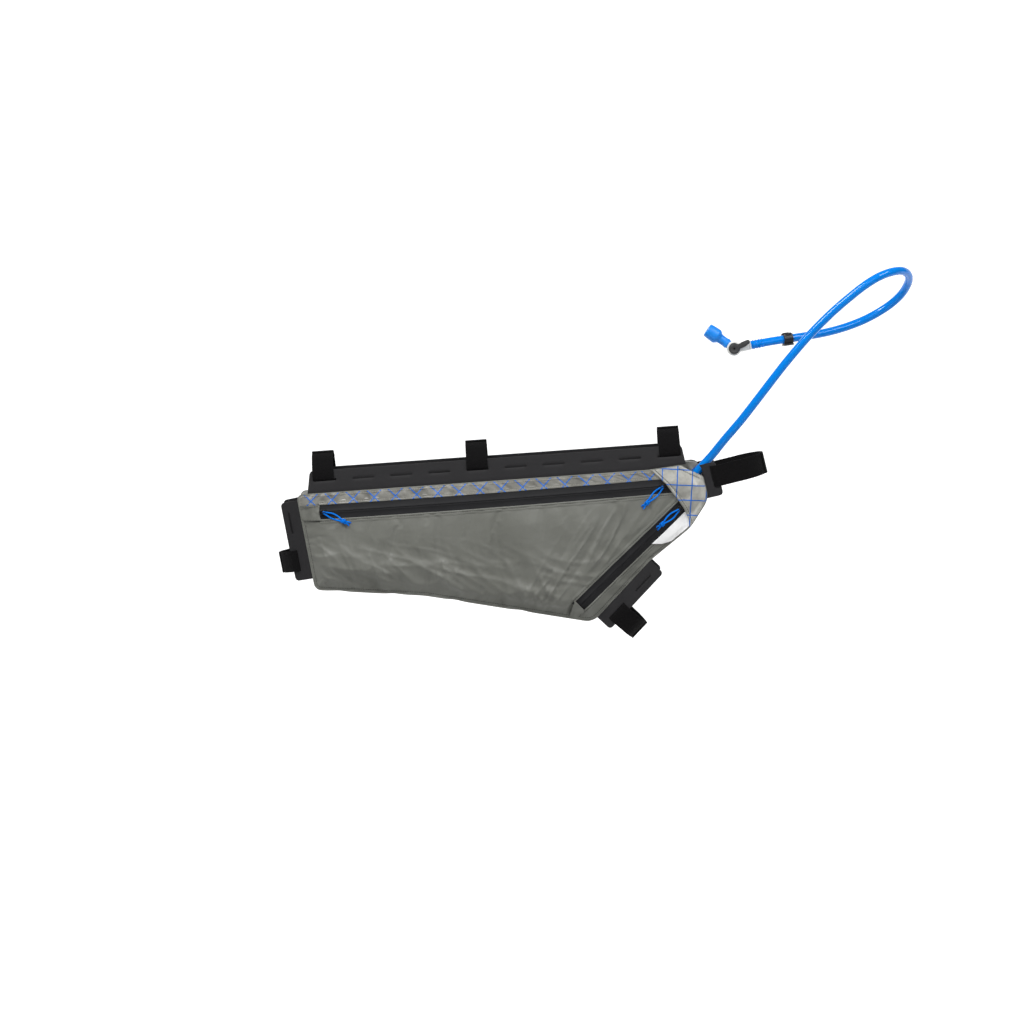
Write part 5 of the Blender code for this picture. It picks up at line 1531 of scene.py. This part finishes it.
LIP_SECTIONS = [  # height, half width and half length
    (-0.0022, 0.0017, 0.0046), (0, 0.0018, 0.0046), (0.0009, 0.0015, 0.0042), (0.0013, 0.0009, 0.0034),
]
lips = []
for way in (-1, 1):
    base = clip_middle - clip_down * 0.0062 + clip_side * way * 0.0044
    sections = [ring_about(base - clip_down * h, clip_side, clip_axis, (a, b), 24) for h, a, b in LIP_SECTIONS]
    lips.append(lofted("clip_lip", sections))
hand_over(joined("hose_clip_body", collar, foot, *lips), clip_black, "clip_black", "hose_clip", sharp=35)

# Valve body. White moulded elbow on the hose's end: a ribbed collar, a short barrel, and a round hub across it that
# holds the shut-off plug.
# Moulded ABS: bright white with an even gloss.
valve_white, _, _ = new_material("white_moulded_plastic", "#E9E9E6", 0.30, Coat_Weight=0.2)
end = np.array([0.32721, 0.0, 0.13675])
way = np.array([-0.9832, 0.0, -0.1827])
up = np.array([-0.1827, 0.0, 0.9832])
across = np.array([0.0, 1.0, 0.0])
hub = np.array([0.30705, 0.0, 0.13300])
profile = [
    (0.0000, 0.0050), (0.0003, 0.0056), (0.0012, 0.0059), (0.0022, 0.0056), (0.0026, 0.0053), (0.0032, 0.0056),
    (0.0050, 0.0058), (0.0110, 0.0059), (0.0150, 0.0058), (0.0180, 0.0052), (0.0205, 0.0040),
]
barrel = lofted("barrel", [ring_about(end + way * s, across, up, (r, r)) for s, r in profile])
drum_profile = [
    (-0.0065, 0.0078), (-0.0063, 0.0083), (-0.0058, 0.0087), (-0.0046, 0.0089), (0.0046, 0.0089), (0.0058, 0.0087),
    (0.0063, 0.0083), (0.0065, 0.0070), (0.0062, 0.0066), (0.0062, 0.0050),
]
drum = lofted("drum", [ring_about(hub + across * s, way, up, (r, r), 48) for s, r in drum_profile])
hand_over(joined("valve_elbow", barrel, drum), valve_white, "valve_white", "valve_body", sharp=35)

# Shut-off lever. Grey moulded lever on the hub's near face: a disc with a shallow dish and an arm along the
# barrel that ends in a slanted tip.
# Moulded polypropylene: dark grey and half matt.
lever_grey, _, _ = new_material("grey_moulded_plastic", "#3A3A3B", 0.40)
arm_way = -way * math.cos(math.radians(14)) + up * math.sin(math.radians(14))
arm_up = np.cross(across, arm_way)
if arm_up[2] < 0:
    arm_up = -arm_up
ARM_SIDES = [  # along the arm, up or down from its middle line, in mm
    (6.0, 3.1), (8.5, 3.0), (12, 3.4), (16, 3.3), (19.2, 2.9), (20.2, 2.0), (20.5, 0.4),
    (20.2, -0.9), (18.6, -1.9), (14.0, -3.2), (9.5, -3.4), (6.2, -2.9),
]
outline = [hub + (arm_way * a + arm_up * c) / 1000 for a, c in ARM_SIDES]
for t in np.linspace(math.radians(-28), math.radians(-332), 36):
    outline.append(hub + (arm_way * math.cos(t) + arm_up * math.sin(t)) * 0.0068)
outline = np.array(outline)


def lever_ring(off, inset):
    """The lever's outline at a distance off the middle plane, set in towards its middle line."""
    ring = []
    for p in outline:
        along = min(max((p - hub) @ arm_way, 0), 0.0185)
        core = hub + arm_way * along
        spoke = p - core
        ring.append(core + spoke * (1 - inset / max(np.linalg.norm(spoke), 0.001)) - across * off)
    return ring


LEVER_SECTIONS = [  # off the middle plane, and how far it is set in
    (0.0069, 0.0004), (0.0071, 0), (0.0088, 0), (0.0093, 0.0003), (0.0095, 0.0009),
]
DISH_SECTIONS = [  # off the middle plane, and radius
    (0.0092, 0.0050), (0.0096, 0.0049), (0.0098, 0.0046), (0.0097, 0.0042), (0.00952, 0.0038), (0.00950, 0.0012),
]
lever = lofted("shut_off_lever", [lever_ring(off, inset) for off, inset in LEVER_SECTIONS])
dish = lofted("dish", [ring_about(hub - across * off, arm_way, arm_up, (r, r), 40) for off, r in DISH_SECTIONS])
hand_over(joined("valve_lever_arm", lever, dish), lever_grey, "lever_grey", "valve_lever", body="lever", sharp=32)

# Bite valve. Soft blue silicone pushed on the elbow's spout: a neck, a flare and an oval bulb with a flat end that
# has a slit.
# Moulded silicone: soft gloss, and the light goes a little way into it.
bite_blue, _, _ = new_material("blue_silicone", "#0C88EA", 0.42, Subsurface_Weight=0.12, Subsurface_Scale=0.004)
mouth = np.array([-0.8244, 0.0, 0.5660])
start = np.array([0.29955, 0.0, 0.13815])
over = np.cross(mouth, across)
over /= np.linalg.norm(over)
profile = [
    (-0.0015, 0.0050, 0.0050), (0.0, 0.0056, 0.0056), (0.0004, 0.0060, 0.0060), (0.0020, 0.0060, 0.0060),
    (0.0026, 0.0056, 0.0056), (0.0060, 0.0055, 0.0055), (0.0100, 0.0056, 0.0056), (0.0120, 0.0060, 0.0061),
    (0.0142, 0.0078, 0.0080), (0.0156, 0.0087, 0.0090), (0.0175, 0.0089, 0.0091), (0.0230, 0.0087, 0.0088),
    (0.0280, 0.0084, 0.0084), (0.0293, 0.0082, 0.0082), (0.0300, 0.0076, 0.0077), (0.0300, 0.0060, 0.0060),
    (0.0297, 0.0052, 0.0052), (0.0296, 0.0020, 0.0030),
]
bite = lofted("bite_bulb", [ring_about(start + mouth * s, across, over, (a, b), 40) for s, a, b in profile])
slit_ring = [
    ring_about(start + mouth * s, across, over, (a, b), 24)
    for s, a, b in ((0.0293, 0.0046, 0.00045), (0.0299, 0.0046, 0.00045), (0.02995, 0.0044, 0.0003))
]
hand_over(bite, bite_blue, "bite_blue", "bite_valve", sharp=35)
# The slit is a thin dark lens on the bulb's flat end: its dark blue is painted shade of the cut.
slit_shade, _, _ = new_material("painted_slit_shade", "#0B4C8C", 0.6)
slit = lofted("bite_slit_shade", slit_ring)
hand_over(slit, slit_shade, "bite_blue", sharp=35)

# The hose again, now that its end pieces are made: what it and its ribs ride on, and the solid that it stands for.
for piece in (hose, hose_bore_shade):
    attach(piece, "bag")
hand_over(hose_ribs, hose_material, "hose_blue")
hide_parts("hose")
